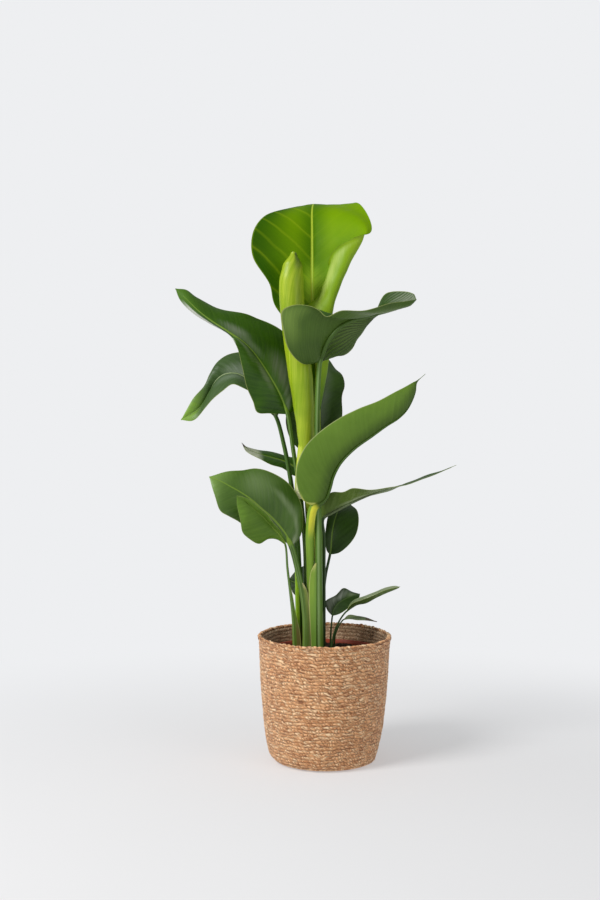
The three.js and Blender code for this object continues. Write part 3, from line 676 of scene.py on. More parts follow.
class Field:
    """A number that varies over a surface. Arithmetic on it adds nodes to its skin."""

    def __init__(self, skin, socket):
        self.skin, self.socket = skin, socket

    def math(self, operation, *others):
        return self.skin.node("ShaderNodeMath", dict(enumerate((self, *others))), 0, operation=operation)

    __abs__ = partialmethod(math, "ABSOLUTE")
    __add__ = partialmethod(math, "ADD")
    __sub__ = partialmethod(math, "SUBTRACT")
    __mul__ = partialmethod(math, "MULTIPLY")
    __truediv__ = partialmethod(math, "DIVIDE")
    __pow__ = partialmethod(math, "POWER")
    most = partialmethod(math, "MAXIMUM")
    floor = partialmethod(math, "FLOOR")
    rest = partialmethod(math, "FRACT")

    def step(self, low, high, to_low=0.0, to_high=1.0):
        """Eased from to_low at low to to_high at high."""
        ends = {"Value": self, "From Min": low, "From Max": high, "To Min": to_low, "To Max": to_high}
        return self.skin.node("ShaderNodeMapRange", ends, 0, interpolation_type="SMOOTHSTEP")

    def wave(self):
        """0 to 1 and back as the field goes from one whole number to the next."""
        return (self * (2 * pi)).math("SINE") * 0.5 + 0.5


class Skin:
    """A material with one Principled shader. Its colour is painted on layer by layer."""

    def __init__(self, name, color, roughness, specular, sheen=0.0):
        self.material = bpy.data.materials.new(name)
        self.material.use_nodes = True
        self.tree = self.material.node_tree
        self.shader = self.tree.nodes["Principled BSDF"]
        self.color = rgb(*color)
        self.feed("Roughness", roughness)
        self.feed("Specular IOR Level", specular)
        self.feed("Sheen Weight", sheen)

    def node(self, kind, inputs, output, **settings):
        """A new node's output. inputs: what feeds each input, by name or by number."""
        made = self.tree.nodes.new(kind)
        for key, value in settings.items():
            setattr(made, key, value)
        for key, value in inputs.items():
            self.feed(key, value, made)
        return Field(self, made.outputs[output])

    def feed(self, key, value, node=None):
        """Feeds an input of a node, or of the shader, with a number, a colour or a field."""
        socket = (node or self.shader).inputs[key]
        if isinstance(value, Field):
            self.tree.links.new(value.socket, socket)
        else:
            socket.default_value = value

    def vector_math(self, operation, *vectors):
        return self.node("ShaderNodeVectorMath", dict(enumerate(vectors)), "Value", operation=operation)

    def paint(self, share, color):
        """Covers this share of the colour so far with another, given as a picture gives it."""
        made = self.tree.nodes.new("ShaderNodeMix")
        made.data_type = "RGBA"
        places = {socket.identifier: i for i, socket in enumerate(made.inputs)}
        for key, value in (("Factor_Float", share), ("A_Color", self.color), ("B_Color", rgb(*color))):
            self.feed(places[key], value, made)
        self.color = Field(self, next(s for s in made.outputs if s.identifier == "Result_Color"))

    def uv(self, name):
        spot = self.node("ShaderNodeUVMap", {}, 0, uv_map=name)
        return [self.node("ShaderNodeSeparateXYZ", {0: spot}, axis) for axis in (0, 1)]

    def vector(self, x, y, z=0.0):
        return self.node("ShaderNodeCombineXYZ", {0: x, 1: y, 2: z}, 0)

    def spot(self):
        return self.node("ShaderNodeTexCoord", {}, "Object")

    def height(self):
        return self.node("ShaderNodeSeparateXYZ", {0: self.spot()}, 2)

    def facing(self, x, y):
        """How squarely the surface faces a level direction: 1 straight at it, 0 sideways on."""
        aim = tuple(Vector((x, y, 0)).normalized())
        return self.vector_math("DOT_PRODUCT", self.node("ShaderNodeNewGeometry", {}, "Normal"), aim)

    def noise(self, scale, detail=3.0, roughness=0.5, vector=None):
        """Noise over the piece, or over a vector of its own."""
        inputs = {"Vector": vector or self.spot(), "Scale": scale, "Detail": detail, "Roughness": roughness}
        return self.node("ShaderNodeTexNoise", inputs, 0)

    def streaks(self, x, y, z=0.0, detail=3.0, roughness=0.6):
        """Noise that is drawn out by how x and y are scaled."""
        return self.noise(1.0, detail, roughness, self.vector(x, y, z))

    def done(self, height=None, strength=0.0, distance=0.0, roughness=None):
        """The material, with bumps from a field. distance: how high they are, in metres."""
        self.feed("Base Color", self.color)
        if height:
            bump = {"Height": height, "Strength": strength, "Distance": distance}
            self.feed("Normal", self.node("ShaderNodeBump", bump, 0))
        if roughness:
            self.feed("Roughness", roughness)
        return self.material


FINE_VEIN = 0.0021  # metres between the finest veins
FADE = 0.06  # share of a blade's length over which the pale band fades in


def blade_skin(
    name, base, deep, vein, rib, slope, specular, roughness, pitch=0.013, veins=0.25, fine=0.12,
    margin=(150, 160, 90), tip=None, rib_width=0.0024, patch=9.0, side=None, pale_back_and_highlight=None, young=None,
    sharp=7.0, furrow_shade=None, rib_shade=None, foot=None, sheen_and_shade_patches=(),
):
    """Leaf tissue: broad and fine veins that run from the rib to the margin, a rib and a pale margin.

    side: the colour of painted shade on the left half towards its margin, and how far the veins fade on the
    right half.
    pale_back_and_highlight: where a whitish strip of the left half's back shows with a painted highlight,
    from and to a share of the length, and its colour.
    young: the colour towards the tip, and the shares of the length where it begins and is full.
    furrow_shade: the distance between the folds of the left half, and the colour of the painted shade in
    them.
    rib_shade: the colour of painted shade beside the rib, and how far it reaches. foot: the colour of the
    margin's foot.
    sheen_and_shade_patches: patches of painted sheen, and a few of painted shade, each as share across,
    share along, reach across and along, and colour.
    """
    skin = Skin(name, base, roughness, specular)
    share, t = skin.uv("place")
    across, length = skin.uv("size")
    far, out = abs(across), abs(share * 2.0 - 1.0)
    straight = length - far * slope
    line = straight + skin.noise(18.0, 2.0) * 0.012
    streak = skin.streaks(line * 260.0, far * 14.0)
    broad = (line / pitch).wave() ** sharp
    skin.paint(skin.noise(patch, 3.0, 0.6).step(0.35, 0.7), deep)
    # painted shade: the left half darkens towards its margin, where it faces away from the light
    if side:
        skin.paint(share.step(0.44, 0.0), side[0])
        broad = broad * share.step(0.48, 0.52, 1.0, side[1])
    # painted shade: darker beside the rib
    if rib_shade:
        skin.paint(far.step(rib_shade[1], 0.0), rib_shade[0])
    # painted sheen in soft patches with streaky edges, and on a few leaves painted shade
    for at_share, at_t, wide, long_, tint in sheen_and_shade_patches:
        apart = skin.vector_math("LENGTH", skin.vector((share - at_share) / wide, (t - at_t) / long_))
        skin.paint((apart + streak * 0.9 - 0.45).step(1.2, 0.0), tint)
    if young:
        skin.paint(t.step(young[1], young[2]), young[0])
    # painted shade in the valleys of the left half's folds
    if furrow_shade:
        valley = (straight / furrow_shade[0]).wave().step(0.55, 0.0)
        skin.paint(valley * share.step(0.49, 0.42) * 0.85, furrow_shade[1])
    skin.paint(streak.step(0.3, 0.75) * (fine * 2), vein)
    skin.paint(broad * far.step(0.0, 0.004) * streak.step(0.2, 0.8, 0.3 * veins, veins), vein)
    is_rib = (far / (t * (-0.8 * rib_width) + rib_width)).step(1.25, 0.6)
    # painted highlight: a whitish strip stands for the pale back of the curled margin, lit by the light
    if pale_back_and_highlight:
        start, end, tint = pale_back_and_highlight
        full = start + FADE
        is_rib = is_rib * t.step(start, full, 1.0, 0.0)
        narrow = share - t.step(full, start + 0.24, 0.06, 0.28)
        skin.paint(t.step(start, full) * t.step(end, end - 0.08) * narrow.step(0.03, -0.03), tint)
    skin.paint(is_rib, rib)
    skin.paint(out.step(0.972, 0.992) * 0.75, margin)
    if foot:
        seam = t.step(0.12, 0.06) * out.step(0.9, 0.96)
        skin.paint(seam.most(t.step(0.07, 0.05) * out.step(0.3, 0.5)), foot)
    if tip:
        start, tint = tip
        skin.paint((t + skin.noise(60.0) * 0.06 - 0.03).step(start, start + 0.05), tint)
    height = broad * 0.5 + streak * 0.45 + (line / FINE_VEIN).wave() * 0.12
    return skin.done(height, 0.3, 0.0005, skin.noise(30.0) * 0.16 + (roughness - 0.08))


def stalk_skin(name, base, deep, rib, foot=None, stain=None, sheen=None):
    """A leaf stalk, with fine streaks along it and other colours towards the soil and on the midrib.

    foot: the colour towards the soil, and the heights where it is full and where it ends.
    stain: from and to a height, its colour, and the side it is on. sheen: the colour of a painted sheen down
    its front.
    """
    skin = Skin(name, base, 0.42, 0.3)
    _, t = skin.uv("place")
    around, length = skin.uv("size")
    streak = skin.streaks(around * 900.0, length * 9.0)
    blotch, height = skin.noise(16.0), skin.height()
    skin.paint(streak.step(0.3, 0.72), deep)
    skin.paint(blotch * 0.5, deep)
    if foot:
        skin.paint((height + skin.noise(40.0) * 0.05 - 0.025).step(foot[2], foot[1]), foot[0])
    # painted sheen down the side of the stalk that faces the front
    if sheen:
        skin.paint(skin.facing(-0.1, -1).step(0.9, 1.0, 0.0, 0.85), sheen)
    if stain:
        low, high, tint, side = stain
        inside = height.step(low - 0.03, low + 0.01) * height.step(high + 0.012, high - 0.01)
        inside = inside * skin.facing(side, -1).step(0.6, 0.8)
        skin.paint(inside * blotch.step(0.3, 0.55, 0.5, 0.95), tint)
    skin.paint(t.step(0.0, 0.04), rib)
    return skin.done(streak, 0.25, 0.0004, blotch * 0.15 + 0.35)


def sheath_skin(name, base, deep, pale, foot, root):
    """A leaf sheath: streaks along it, a pale tip and free edge, and other colours at its foot and root."""
    skin = Skin(name, base, 0.45, 0.3)
    share, t = skin.uv("place")
    across, length = skin.uv("size")
    streak = skin.streaks(across * 700.0, length * 9.0)
    skin.paint(streak.step(0.3, 0.7), deep)
    skin.paint(t.step(0.45, 0.9), foot)
    skin.paint(t.step(0.3, 0.04), pale)
    skin.paint(share.step(0.55, 0.1, 0.0, 0.85), root)
    skin.paint(share.step(0.9, 0.97, 0.0, 0.85), pale)
    return skin.done(streak, 0.25, 0.0004)


def spear_skin(name, base, deep, pale):
    """The rolled leaf: slanting streaks, paler towards its foot, with painted shade on the right side of its
    open top.
    """
    skin = Skin(name, base, 0.42, 0.3)
    around, length = skin.uv("size")
    height = skin.height()
    streak = skin.streaks(around * 420.0, (length + around * 0.25) * 7.0, 0.0, 4.0, 0.65)
    skin.paint(streak.step(0.32, 0.72), pale)
    skin.paint(skin.noise(11.0).step(0.35, 0.7, 0.0, 0.55), deep)
    skin.paint(height.step(0.56, 0.36), pale)
    # painted shade inside the open top, on its side that faces right
    skin.paint(height.step(0.938, 0.968) * skin.facing(1, -0.5).step(0.45, 0.8), (82, 106, 22))
    return skin.done(streak, 0.3, 0.0005, streak * 0.2 + 0.3)


def grass_skin(name, dark, mid, light, straw, gap):
    """Twisted seagrass: each twist has its own tint and fibres along it, with a painted highlight on its
    upper crest and painted shade, in the gap colour, in the grooves between and under the twists.
    """
    skin = Skin(name, dark, 0.62, 0.35, 0.15)
    lobe, row = skin.uv("size")
    lobe = lobe + skin.noise(60.0, 2.0) * 4.0 - 2.0
    row = row + skin.noise(80.0, 2.0) * 1.3 - 0.65
    cell = skin.vector(lobe.floor(), row.floor())
    own = skin.node("ShaderNodeTexWhiteNoise", {"Vector": cell}, "Value", noise_dimensions="2D")
    fibre = skin.streaks(lobe * 5.0, row * 1.6, own, 4.0, 0.7)
    hairs = skin.streaks(lobe * 17.0, row * 3.0, own, 3.0, 0.65)
    fleck = skin.streaks(lobe * 1.3, row * 1.7, 0.0, 2.0)
    skin.paint(own.step(0.1, 0.55), mid)
    skin.paint(fibre.step(0.4, 0.66), light)
    skin.paint(own.step(0.7, 1.0, 0.0, 0.8) * fibre.step(0.35, 0.6), straw)
    skin.paint(hairs.step(0.55, 0.75, 0.0, 0.6), straw)
    skin.paint(hairs.step(0.42, 0.3, 0.0, 0.55), dark)
    skin.paint(skin.streaks(lobe * 0.06, row * 0.8, 0.0, 3.0, 0.5).step(0.45, 0.75, 0.0, 0.3), dark)
    skin.paint(skin.noise(22.0).step(0.45, 0.75, 0.0, 0.3), light)
    side, level = abs(lobe.rest() - 0.5), row.rest()
    # painted highlight: straw on the upper crest of each twist, where light from above falls
    painted_crest_highlight = side.step(0.36, 0.1) * level.step(0.35, 0.65)
    skin.paint(painted_crest_highlight * own.step(0.2, 0.9, 0.1, 0.9), straw)
    # painted shade: the gap colour in the grooves between twists and rows and on the lower side of each row
    painted_groove_shade = side.step(0.24, 0.5, 0.0, 0.9).most(abs(level - 0.5).step(0.34, 0.5, 0.0, 0.85))
    painted_groove_shade = painted_groove_shade.most(level.step(0.3, 0.02, 0.0, 0.7))
    skin.paint(painted_groove_shade * skin.noise(90.0, 2.0).step(0.3, 0.6, 0.45, 1.0), gap)
    skin.paint(fleck.step(0.42, 0.3, 0.0, 0.7), gap)
    skin.paint(fleck.step(0.58, 0.7, 0.0, 0.55), straw)
    return skin.done(fibre + hairs * 0.6, 0.8, 0.0011, fibre * 0.2 + 0.52)


# The last colour of each seagrass is the painted shade of its grooves, also used for dark flecks.
SEAGRASS = grass_skin(
    "seagrass", (180, 112, 62), (232, 164, 106), (250, 194, 138), (255, 226, 182), (104, 54, 26)
)
SEAGRASS_INSIDE = grass_skin(
    "seagrass_inside", (180, 138, 102), (212, 170, 130), (230, 192, 152), (240, 210, 174), (122, 90, 66)
)


def plastic_skin():
    skin = Skin("terracotta_plastic", (158, 62, 36), 0.5, 0.4)
    dust = skin.noise(30.0, 4.0, 0.6).step(0.45, 0.75, 0.0, 0.35)
    skin.paint(dust, (120, 52, 34))
    return skin.done(skin.noise(1500.0, 2.0), 0.1, 0.0003, dust.step(0.0, 0.35, 0.42, 0.65))


def soil_skin():
    skin = Skin("potting_soil", (30, 22, 17), 0.95, 0.2)
    crumbs, lumps = skin.noise(260.0, 4.0, 0.7), skin.noise(70.0, 3.0, 0.6)
    skin.paint(crumbs.step(0.35, 0.7), (72, 54, 42))
    skin.paint(lumps.step(0.62, 0.72, 0.0, 0.6), (110, 84, 62))
    return skin.done(crumbs + lumps, 1.0, 0.002)


# ---- basket, pot and soil ----------------------------------------------------------------------------

ROWS = 36  # turns of cord up the wall
LOBES = 112  # twists of the cord in one turn
ROW = BASKET["rim"] / ROWS
CORD = 2.8  # how far the cord stands out between its grooves
SLANT = 1.25  # how far a twist runs along the cord from its lower to its upper side, in twists
TWIST_SIZES = rng.uniform(0.72, 1.12, (ROWS + 1, LOBES))
RIM = {"radius": 125.5, "height": 230.5, "cord": 4.2, "twists": 76}
FLOOR_RINGS, FLOOR_EDGE = 14, 90
CRUMBS = 420


def wall_radius(z):
    radii, heights = zip(*PROFILE)
    return np.interp(z, heights, radii)


def settle(points):
    """The hand-made basket's own lean and its higher back rim."""
    x, y, z = points[..., 0], points[..., 1], points[..., 2]
    turn = np.arctan2(y, x)
    uneven = 1 + 0.7 * np.sin(3 * turn + z / 40) * smooth(z, 10, 60) / np.maximum(np.hypot(x, y), 1)
    lean = 3.2 * (1 - smooth(z, 30, 230)) * smooth(z, 1, 12)
    rise = smooth(z, 120, 235) * (4 + 5.2 * smooth(y, -20, 130) + 0.6 * np.sin(2 * turn + 1))
    return np.stack([x * uneven - lean, y * uneven, z + rise], -1)


def twist_height(across, lobe, size=1.0):
    """How high a two-ply cord stands, 0 to 1, at a place across it (0 to 1) and along it in twists."""
    strand = 0.36 + 0.64 * np.sqrt(np.abs(np.sin(pi * lobe))) * size
    return strand * (0.3 + 0.7 * np.sqrt(np.clip(1 - (2 * across - 1) ** 2, 0, 1)))


def drift(z, angle):
    """How far the rows of a hand-made wall wander up and down."""
    waves = ((0.9, 5, 1 / 29, 0), (0.7, 13, -1 / 17, 1), (0.6, 31, 1 / 8, 0))
    calm = smooth(z, 0, 25) * (1 - smooth(z, 205, 232))
    return calm * sum(high * np.sin(round_ * angle + up * z + start) for high, round_, up, start in waves)


def cord_wall(name, low_row, inward, per_row, per_lobe, skin, node=None):
    """Rows of twisted cord round the wall up to its rim, as a relief of its outer or inner face."""
    rows = np.arange(low_row * per_row, ROWS * per_row + 1) / per_row
    turns = np.linspace(0, LOBES, LOBES * per_lobe + 1)
    row = np.minimum(np.floor(rows + 1e-6), ROWS - 1).astype(int)[:, None]
    rows = rows[:, None]
    across, z = rows - row, rows * ROW
    lobe = turns + np.random.default_rng(5).random(ROWS + 1)[row] + SLANT * (across - 0.5)
    height = twist_height(across, lobe, TWIST_SIZES[row, np.floor(lobe).astype(int) % LOBES])
    reach = wall_radius(z) + (1 - BASKET["wall"] - CORD * height if inward else CORD * (height - 1))
    angle = 2 * pi * turns / LOBES
    body = Body()
    body.grid(settle(polar(reach, angle, z + drift(z, angle))), pair(lobe, rows), flip=inward)
    body.join(name, [skin], "seagrass", node)


def basket_rim():
    """One closed turn of thick two-ply cord, which finishes the rim."""
    twists = RIM["twists"]
    turns, ply = np.linspace(0, twists, twists * 7 + 1)[:, None], circle(16)
    lobe = turns + ply / pi
    own = rng.uniform(0.5, 1.35, twists + 3)[np.floor(lobe).astype(int)]
    r = RIM["cord"] * (0.5 + 0.55 * own * np.sqrt(np.abs(np.sin(pi * turns + ply))))
    reach, z = RIM["radius"] + r * np.cos(ply), RIM["height"] + r * np.sin(ply)
    body = Body()
    body.grid(settle(polar(reach, 2 * pi * turns / twists, z)), pair(lobe, ply / pi + 40), flip=True)
    body.join("basket_rim", [SEAGRASS], "seagrass", weld=0.01)


def basket_floor():
    """The coiled underside and the floor inside, in one closed disc."""
    rings = np.arange(0, FLOOR_RINGS * 4 + 1)[:, None] / 4
    turns = np.linspace(0, LOBES, LOBES * 3 + 1)
    across = rings - np.minimum(np.floor(rings + 1e-6), FLOOR_RINGS - 1)
    height = twist_height(across, turns + np.floor(rings) * 0.37 + SLANT * (across - 0.5))
    body = Body()
    for top in (False, True):
        z = BASKET["wall"] - 1 + height if top else 1.6 * (1 - height) + 0.02
        points = polar(rings * FLOOR_EDGE / FLOOR_RINGS, 2 * pi * turns / LOBES, z)
        body.grid(points, pair(turns, rings + (60 if top else 90)), flip=top)
    body.join("basket_floor", [SEAGRASS_INSIDE], "seagrass")


def loose_fibres(count):
    """Short ends of grass that stand out of the weave."""
    body = Body()
    s, ring = np.linspace(0, 1, 6), circle(4)
    for _ in range(count):
        angle, z = random.uniform(0, 2 * pi), random.uniform(12, 228)
        long_, lift = random.uniform(5, 13), random.uniform(0.8, 2.6)
        lean, rise = random.choice([-1, 1]) * random.uniform(0.6, 1), random.uniform(-0.5, 0.6)
        reach, turn = wall_radius(z) - 0.8 + lift * s**1.5, angle + lean * long_ * s / 120
        middle = polar(reach, turn, z + rise * long_ * s)
        thin = 0.32 * (1 - 0.8 * s)
        points = middle[:, None] + polar(np.cos(ring), angle, np.sin(ring)) * thin[:, None, None]
        body.grid(settle(points), pair(s[:, None] * 0.8 + round(z), 200.5), flip=lean > 0)
    body.join("basket_fibres", [SEAGRASS], "seagrass")


def pot_piece():
    """The nursery pot, turned from its profile, with each corner cut back on both sides."""
    top, bottom, wall, floor = POT["top"], POT["bottom"], POT["wall"], POT["foot"]
    rim, lip, under = floor + POT["height"], top + POT["lip"], floor + POT["height"] - POT["lip_height"]
    profile = np.array([
        (0, floor), (bottom, floor), (top, under), (lip, under), (lip, rim), (top - wall, rim),
        (top - wall, under), (bottom - wall, floor + wall), (0, floor + wall),
    ], float)
    line = [profile[0]]
    for before, here, after in zip(profile, profile[1:], profile[2:]):
        for gap in (before - here, after - here):
            line.append(here + gap * min(0.6 / np.linalg.norm(gap), 0.4))
    line = np.array([*line, profile[-1]])
    body = Body()
    body.grid(polar(line[:, :1], circle(120), line[:, 1:]))
    body.join("nursery_pot_shell", [plastic_skin()], "pot_plastic", "nursery_pot", weld=0.01)


def soil_piece():
    """Loose soil heaped a little towards the middle, with its crumbs."""
    inner = POT["top"] - POT["wall"] - 0.6
    rings, turns = np.linspace(0, 1, 60)[:, None], circle(180)
    x, y = inner * rings * np.cos(turns), inner * rings * np.sin(turns)
    lumps = np.zeros_like(x)
    for wave, high in ((34, 1.3), (15, 0.9), (7, 0.7), (4, 0.5)):
        a, b, c, d = rng.uniform(0, 6.3, 4)
        lumps += high * np.sin(x / wave * 2.1 + a + np.sin(y / wave + b)) * np.sin(
            y / wave * 1.9 + c + np.sin(x / wave + d)
        )
    fade = 1 - smooth(rings, 0.97, 1)
    body = Body()
    body.grid(np.stack([x, y, SOIL["top"] + SOIL["crown"] * (1 - rings**2) + (lumps + 1) * fade + 0.4], -1))
    lat, lon = np.linspace(0, pi, 5)[:, None], circle(6)
    for _ in range(CRUMBS):
        r, a = inner * 0.97 * math.sqrt(random.random()), random.uniform(0, 2 * pi)
        big = random.choice([0.9, 1.3, 1.6, 2.2, 3.0])
        stretch = np.array([random.uniform(0.6, 1.5), random.uniform(0.6, 1.3), random.uniform(0.4, 0.8)])
        turn = random.uniform(0, 3)
        spin = np.array(Matrix.Rotation(turn, 3, "Z"))
        centre = polar(r, a, SOIL["top"] + 2 + SOIL["crown"] * (1 - (r / inner) ** 2) + 0.2 * big)
        body.grid(polar(np.sin(lat), lon, np.cos(lat)) * stretch * big @ spin.T + centre, flip=True)
    body.join("potting_soil", [soil_skin()], "soil", "soil")


# ---- the look of each leaf ---------------------------------------------------------------------------

GREEN_STALK = stalk_skin(
    "stalk_green", (88, 122, 40), (64, 96, 30), (112, 142, 44), ((112, 142, 54), 0.215, 0.36),
    sheen=(112, 140, 76),
)
BLUISH_STALK = stalk_skin(
    "stalk_broad", (94, 130, 46), (72, 106, 34), (64, 92, 26), ((100, 134, 46), 0.215, 0.33),
    sheen=(122, 150, 90),
)
BRIGHT_STALK = stalk_skin(
    "stalk_bright", (72, 106, 34), (54, 86, 24), (140, 156, 110), ((112, 100, 48), 0.222, 0.27),
    stain=(0.268, 0.37, (142, 184, 6), -0.5),
)
# Its rib colour is dark: painted shade along the lower edge of leaf_right_big's blade.
YELLOW_STALK = stalk_skin(
    "stalk_yellowish", (132, 166, 52), (110, 146, 40), (62, 90, 22), ((124, 138, 58), 0.22, 0.36),
    stain=(0.452, 0.496, (212, 208, 54), 0.35),
)
YOUNG_STALK = stalk_skin(
    "stalk_young", (142, 168, 30), (112, 146, 12), (160, 190, 52), ((80, 118, 30), 0.38, 0.6)
)
THIN_STALK, DARK_STALK, SIDE_STALK = (
    stalk_skin("stalk_" + name, (54, 80, 36), (38, 62, 26), rib)
    for name, rib in (("thin", (92, 106, 70)), ("dark", (86, 114, 40)), ("side", (66, 90, 40)))
)

PLAIN = dict(
    upper=((44, 80, 2), (24, 52, 2), (66, 104, 18), (112, 136, 36)),
    under=((84, 114, 30), (66, 98, 22), (108, 136, 52), (96, 124, 34)), stalk=DARK_STALK,
)
DULL = dict(upper=((36, 62, 6), (24, 46, 4), (52, 84, 18), (92, 116, 40)), specular=0.25, roughness=0.45)

LOOKS = {
    "leaf_crown_open": dict(
        grid=(130, 40), slope=1.0, pleat=26, ripple=0.5, curls=((0.16, 0.66), (0.36, 0.58), -84),
        upper=((112, 150, 0), (96, 140, 0), (158, 182, 26), (160, 174, 44)), slot="leaf_young",
        under=((136, 168, 14), (112, 152, 4), (170, 190, 70), (150, 176, 60)), stalk=YOUNG_STALK,
        pitch=0.046, veins=0.34, fine=0.02, margin=(120, 150, 30), rib_width=0.0044, patch=5.0,
        # side: painted shade on the left half towards its margin
        roughness=0.5, specular=0.05, side=((44, 86, 2), 0.12), sharp=16.0, rib_shade=((70, 112, 0), 0.05),
        sheen_and_shade_patches=[(0.93, 0.36, 0.05, 0.2, (172, 194, 96)), (0.48, 0.32, 0.1, 0.11, (150, 186, 44))],
    ),
    "leaf_dark_mid": dict(
        grid=(170, 36), slope=1.9, pleat=15, ripple=1.5, phase=1.0, folds=(8.0, 0.7), keel=1.1,
        under=((64, 92, 22), (46, 72, 14), (82, 108, 44), (74, 102, 34)), stalk=BLUISH_STALK,
        pitch=0.009, veins=0.3, fine=0.2, furrow_shade=(0.015, (34, 50, 16)), sheen_and_shade_patches=[
            (0.93, 0.29, 0.12, 0.14, (106, 132, 56)), (0.28, 0.42, 0.26, 0.3, (94, 118, 54)),
            (0.6, 0.5, 0.08, 0.1, (92, 112, 68)), (0.75, 0.75, 0.2, 0.12, (98, 118, 68)),
            (0.52, 0.64, 0.06, 0.1, (124, 140, 104)), (0.2, 0.87, 0.3, 0.17, (152, 162, 138)),
        ],
    ),
    "leaf_left_upper": dict(
        grid=(120, 26), phase=2.2, ripple=1.4, stalk=GREEN_STALK,
        upper=((52, 90, 2), (32, 66, 0), (72, 106, 24), (98, 120, 50)), young=((74, 112, 30), 0.7, 1.0),
        pale_back_and_highlight=(0.52, 0.93, (196, 200, 186)), veins=0.3, roughness=0.42, specular=0.22, sheen_and_shade_patches=[
            (0.25, 0.12, 0.26, 0.14, (30, 58, 10)),
            (0.66, 0.1, 0.12, 0.14, (96, 108, 84)), (0.66, 0.28, 0.14, 0.14, (98, 108, 86)),
            (0.58, 0.6, 0.1, 0.12, (112, 124, 100)), (0.55, 0.48, 0.06, 0.12, (90, 108, 74)),
            (0.42, 0.32, 0.08, 0.13, (98, 112, 80)), (0.34, 0.5, 0.12, 0.12, (94, 112, 76)),
        ],
    ),
    "leaf_left_behind": dict(
        grid=(110, 22), phase=0.4, stalk=BRIGHT_STALK, young=((122, 162, 44), 0.76, 1.0),
        upper=((60, 88, 34), (46, 74, 22), (84, 112, 58), (136, 152, 104)), roughness=0.45, specular=0.4,
        sheen_and_shade_patches=[(0.6, 0.35, 0.16, 0.2, (98, 112, 90)), (0.35, 0.45, 0.16, 0.2, (100, 116, 92))],
    ),
    "leaf_right_behind": dict(
        grid=(80, 22), phase=3.0, ripple=1.8, wave=9, specular=0.3, roughness=0.45, margin=(104, 96, 62),
        upper=((52, 80, 22), (34, 60, 10), (68, 98, 34), (92, 116, 40)),
        sheen_and_shade_patches=[(0.7, 0.6, 0.14, 0.25, (82, 98, 70))],
    ),
    "leaf_right_big": dict(
        grid=(120, 26), phase=4.0, ripple=0.5, keel=0.3, stalk=YELLOW_STALK,
        under=((98, 130, 38), (86, 118, 30), (114, 146, 56), (70, 104, 22)), veins=0.12, fine=0.07,
        margin=(168, 180, 118), rib_shade=((58, 84, 18), 0.03), foot=(204, 210, 112),
        sheen_and_shade_patches=[(0.15, 0.75, 0.16, 0.2, (104, 132, 62))],
    ),
    "leaf_right_thin": dict(
        grid=(110, 18), phase=5.0, ripple=1.6, stalk=THIN_STALK,
        under=((92, 116, 44), (70, 94, 30), (112, 132, 68), (104, 120, 76)),
        sheen_and_shade_patches=[(0.56, 0.36, 0.07, 0.2, (150, 164, 126))],
    ),
    "leaf_right_low": dict(grid=(80, 18), phase=1.5, **DULL),
    "leaf_left_low": dict(
        grid=(100, 24), phase=2.7, ripple=1.3, stalk=GREEN_STALK, young=((118, 152, 68), 0.74, 1.0),
        upper=((66, 98, 24), (46, 76, 10), (92, 122, 46), (124, 156, 40)), roughness=0.4, specular=0.4,
        sheen_and_shade_patches=[
            (0.82, 0.05, 0.14, 0.1, (136, 148, 116)), (0.84, 0.2, 0.06, 0.16, (108, 126, 84)),
            (0.8, 0.38, 0.06, 0.14, (104, 124, 80)), (0.76, 0.6, 0.26, 0.16, (98, 122, 70)),
        ],
    ),
    "leaf_left_front": dict(
        grid=(90, 20), phase=0.9, stalk=GREEN_STALK,
        under=((92, 128, 34), (74, 108, 22), (112, 144, 50), (92, 128, 34)),
    ),
    "leaf_left_small": dict(
        grid=(70, 14), phase=3.6, tip=(0.9, (58, 30, 22)), young=((176, 180, 156), 0.6, 0.72),
    ),
    "leaf_back_low": dict(grid=(50, 12), phase=4.4, **DULL),
    "leaf_side_broad": dict(
        grid=(60, 14), phase=5.5, rings=50, stalk=SIDE_STALK, specular=0.25, roughness=0.45,
        upper=((36, 62, 6), (24, 46, 4), (52, 84, 18), (62, 86, 34)),
        sheen_and_shade_patches=[(0.2, 0.34, 0.26, 0.46, (160, 166, 152)), (0.4, 0.75, 0.16, 0.2, (104, 118, 86))],
    ),
    "leaf_side_narrow": dict(
        grid=(70, 12), phase=1.2, rings=50, stalk=SIDE_STALK, sheen_and_shade_patches=[(0.5, 0.04, 0.7, 0.3, (62, 84, 32))],
        upper=((130, 142, 110), (106, 120, 84), (144, 156, 126), (128, 142, 100)),
        under=((78, 102, 38), (58, 82, 26), (96, 118, 56), (104, 122, 70)),
    ),
    "leaf_side_withered": dict(
        grid=(60, 10), phase=2.0, rings=50, stalk=SIDE_STALK, tip=(0.72, (70, 50, 34)),
        upper=((110, 122, 88), (84, 98, 62), (126, 138, 104), (96, 110, 76)),
        under=((74, 94, 48), (56, 76, 34), (92, 110, 66), (96, 110, 76)),
    ),
}

# ---- the pieces --------------------------------------------------------------------------------------

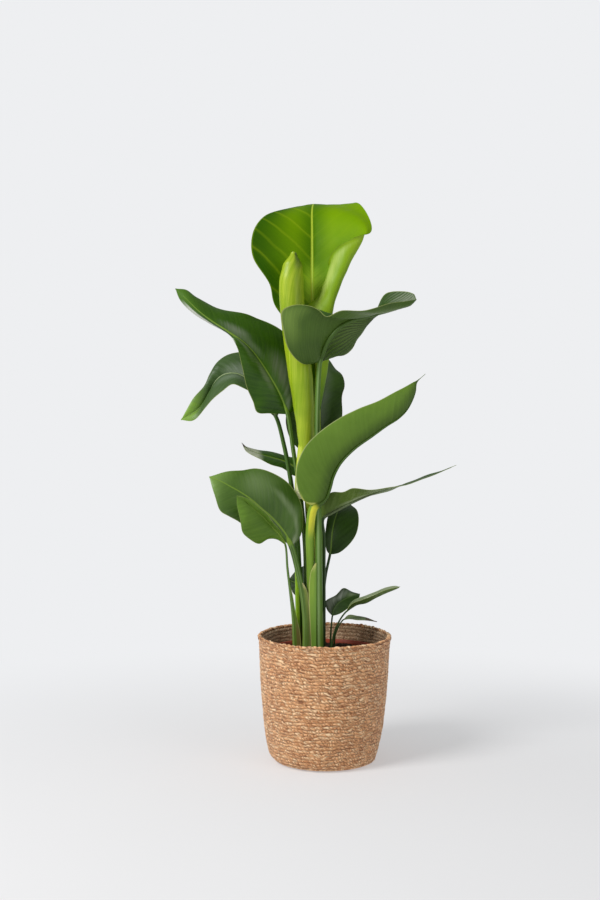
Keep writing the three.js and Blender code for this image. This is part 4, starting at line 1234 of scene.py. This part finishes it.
for entry in LEAVES:
    leaf_piece(entry, **{**PLAIN, **LOOKS[entry["name"]]})
spear_piece()
for entry in LEAVES:
    if entry["name"] in SHEATHS:
        sheath_piece(entry["name"], entry["stalk"], entry["thick"])
sheath_piece("leaf_spear_rolled", SPEAR["axis"][:5], SPEAR["radius"][:5])
cord_wall("basket_wall", 0, False, 4, 6, SEAGRASS, "basket")
cord_wall("basket_lining", 4, True, 3, 4, SEAGRASS_INSIDE)
basket_rim()
basket_floor()
loose_fibres(60)
pot_piece()
soil_piece()

# ---- floor, background and light ---------------------------------------------------------------------

BACKGROUND = rgb(238, 239, 241)
AMBIENT = 0.46  # how bright the room is that lights the plant, next to the backdrop that the camera sees
FLOOR_RADIUS = 12.0
FLOOR_GAP = 0.0004  # the floor lies this much below the basket


def floor_skin():
    """A pale floor that glows more further away, painted light that lightens its shadows and turns it into
    the background.
    """
    skin = Skin("floor", (240, 239, 239), 0.8, 0.0)
    skin.paint(skin.noise(2.0), (236, 235, 235))
    # painted light: the floor's own colour gives way to a glow in the background colour, which grows with
    # distance
    share = skin.vector_math("DISTANCE", skin.spot(), (0, -0.5, 0)).step(0.5, 1.7, 0.4, 1.0)
    skin.paint(share, (0, 0, 0))
    skin.feed("Emission Color", BACKGROUND)
    skin.feed("Emission Strength", share)
    return skin.done()


bpy.ops.mesh.primitive_circle_add(
    vertices=96, radius=FLOOR_RADIUS, fill_type="NGON", location=(0, 0, -FLOOR_GAP)
)
floor = bpy.context.object
floor.name = "floor"
floor.data.materials.append(floor_skin())

world = bpy.data.worlds.new("studio")
bpy.context.scene.world = world
world.use_nodes = True
sky = world.node_tree.nodes["Background"]
sky.inputs["Color"].default_value = BACKGROUND
seen = world.node_tree.nodes.new("ShaderNodeLightPath").outputs["Is Camera Ray"]
level = world.node_tree.nodes.new("ShaderNodeMapRange")
level.inputs["To Min"].default_value = AMBIENT
world.node_tree.links.new(seen, level.inputs["Value"])
world.node_tree.links.new(level.outputs[0], sky.inputs["Strength"])
bpy.context.scene.view_settings.view_transform = "Standard"


def lamp(name, place, size, power):
    """A round lamp that points at the middle of the plant."""
    light = bpy.data.lights.new(name, "AREA")
    light.shape, light.size, light.energy = "DISK", size, power
    made = bpy.data.objects.new(name, light)
    bpy.context.scene.collection.objects.link(made)
    made.location = place
    made.rotation_euler = (Vector((0, 0, 0.5)) - Vector(place)).to_track_quat("-Z", "Y").to_euler()


lamp("key", (-2.3, -1.7, 2.6), 1.5, 95)
lamp("fill", (2.4, -2.2, 1.4), 1.8, 12)
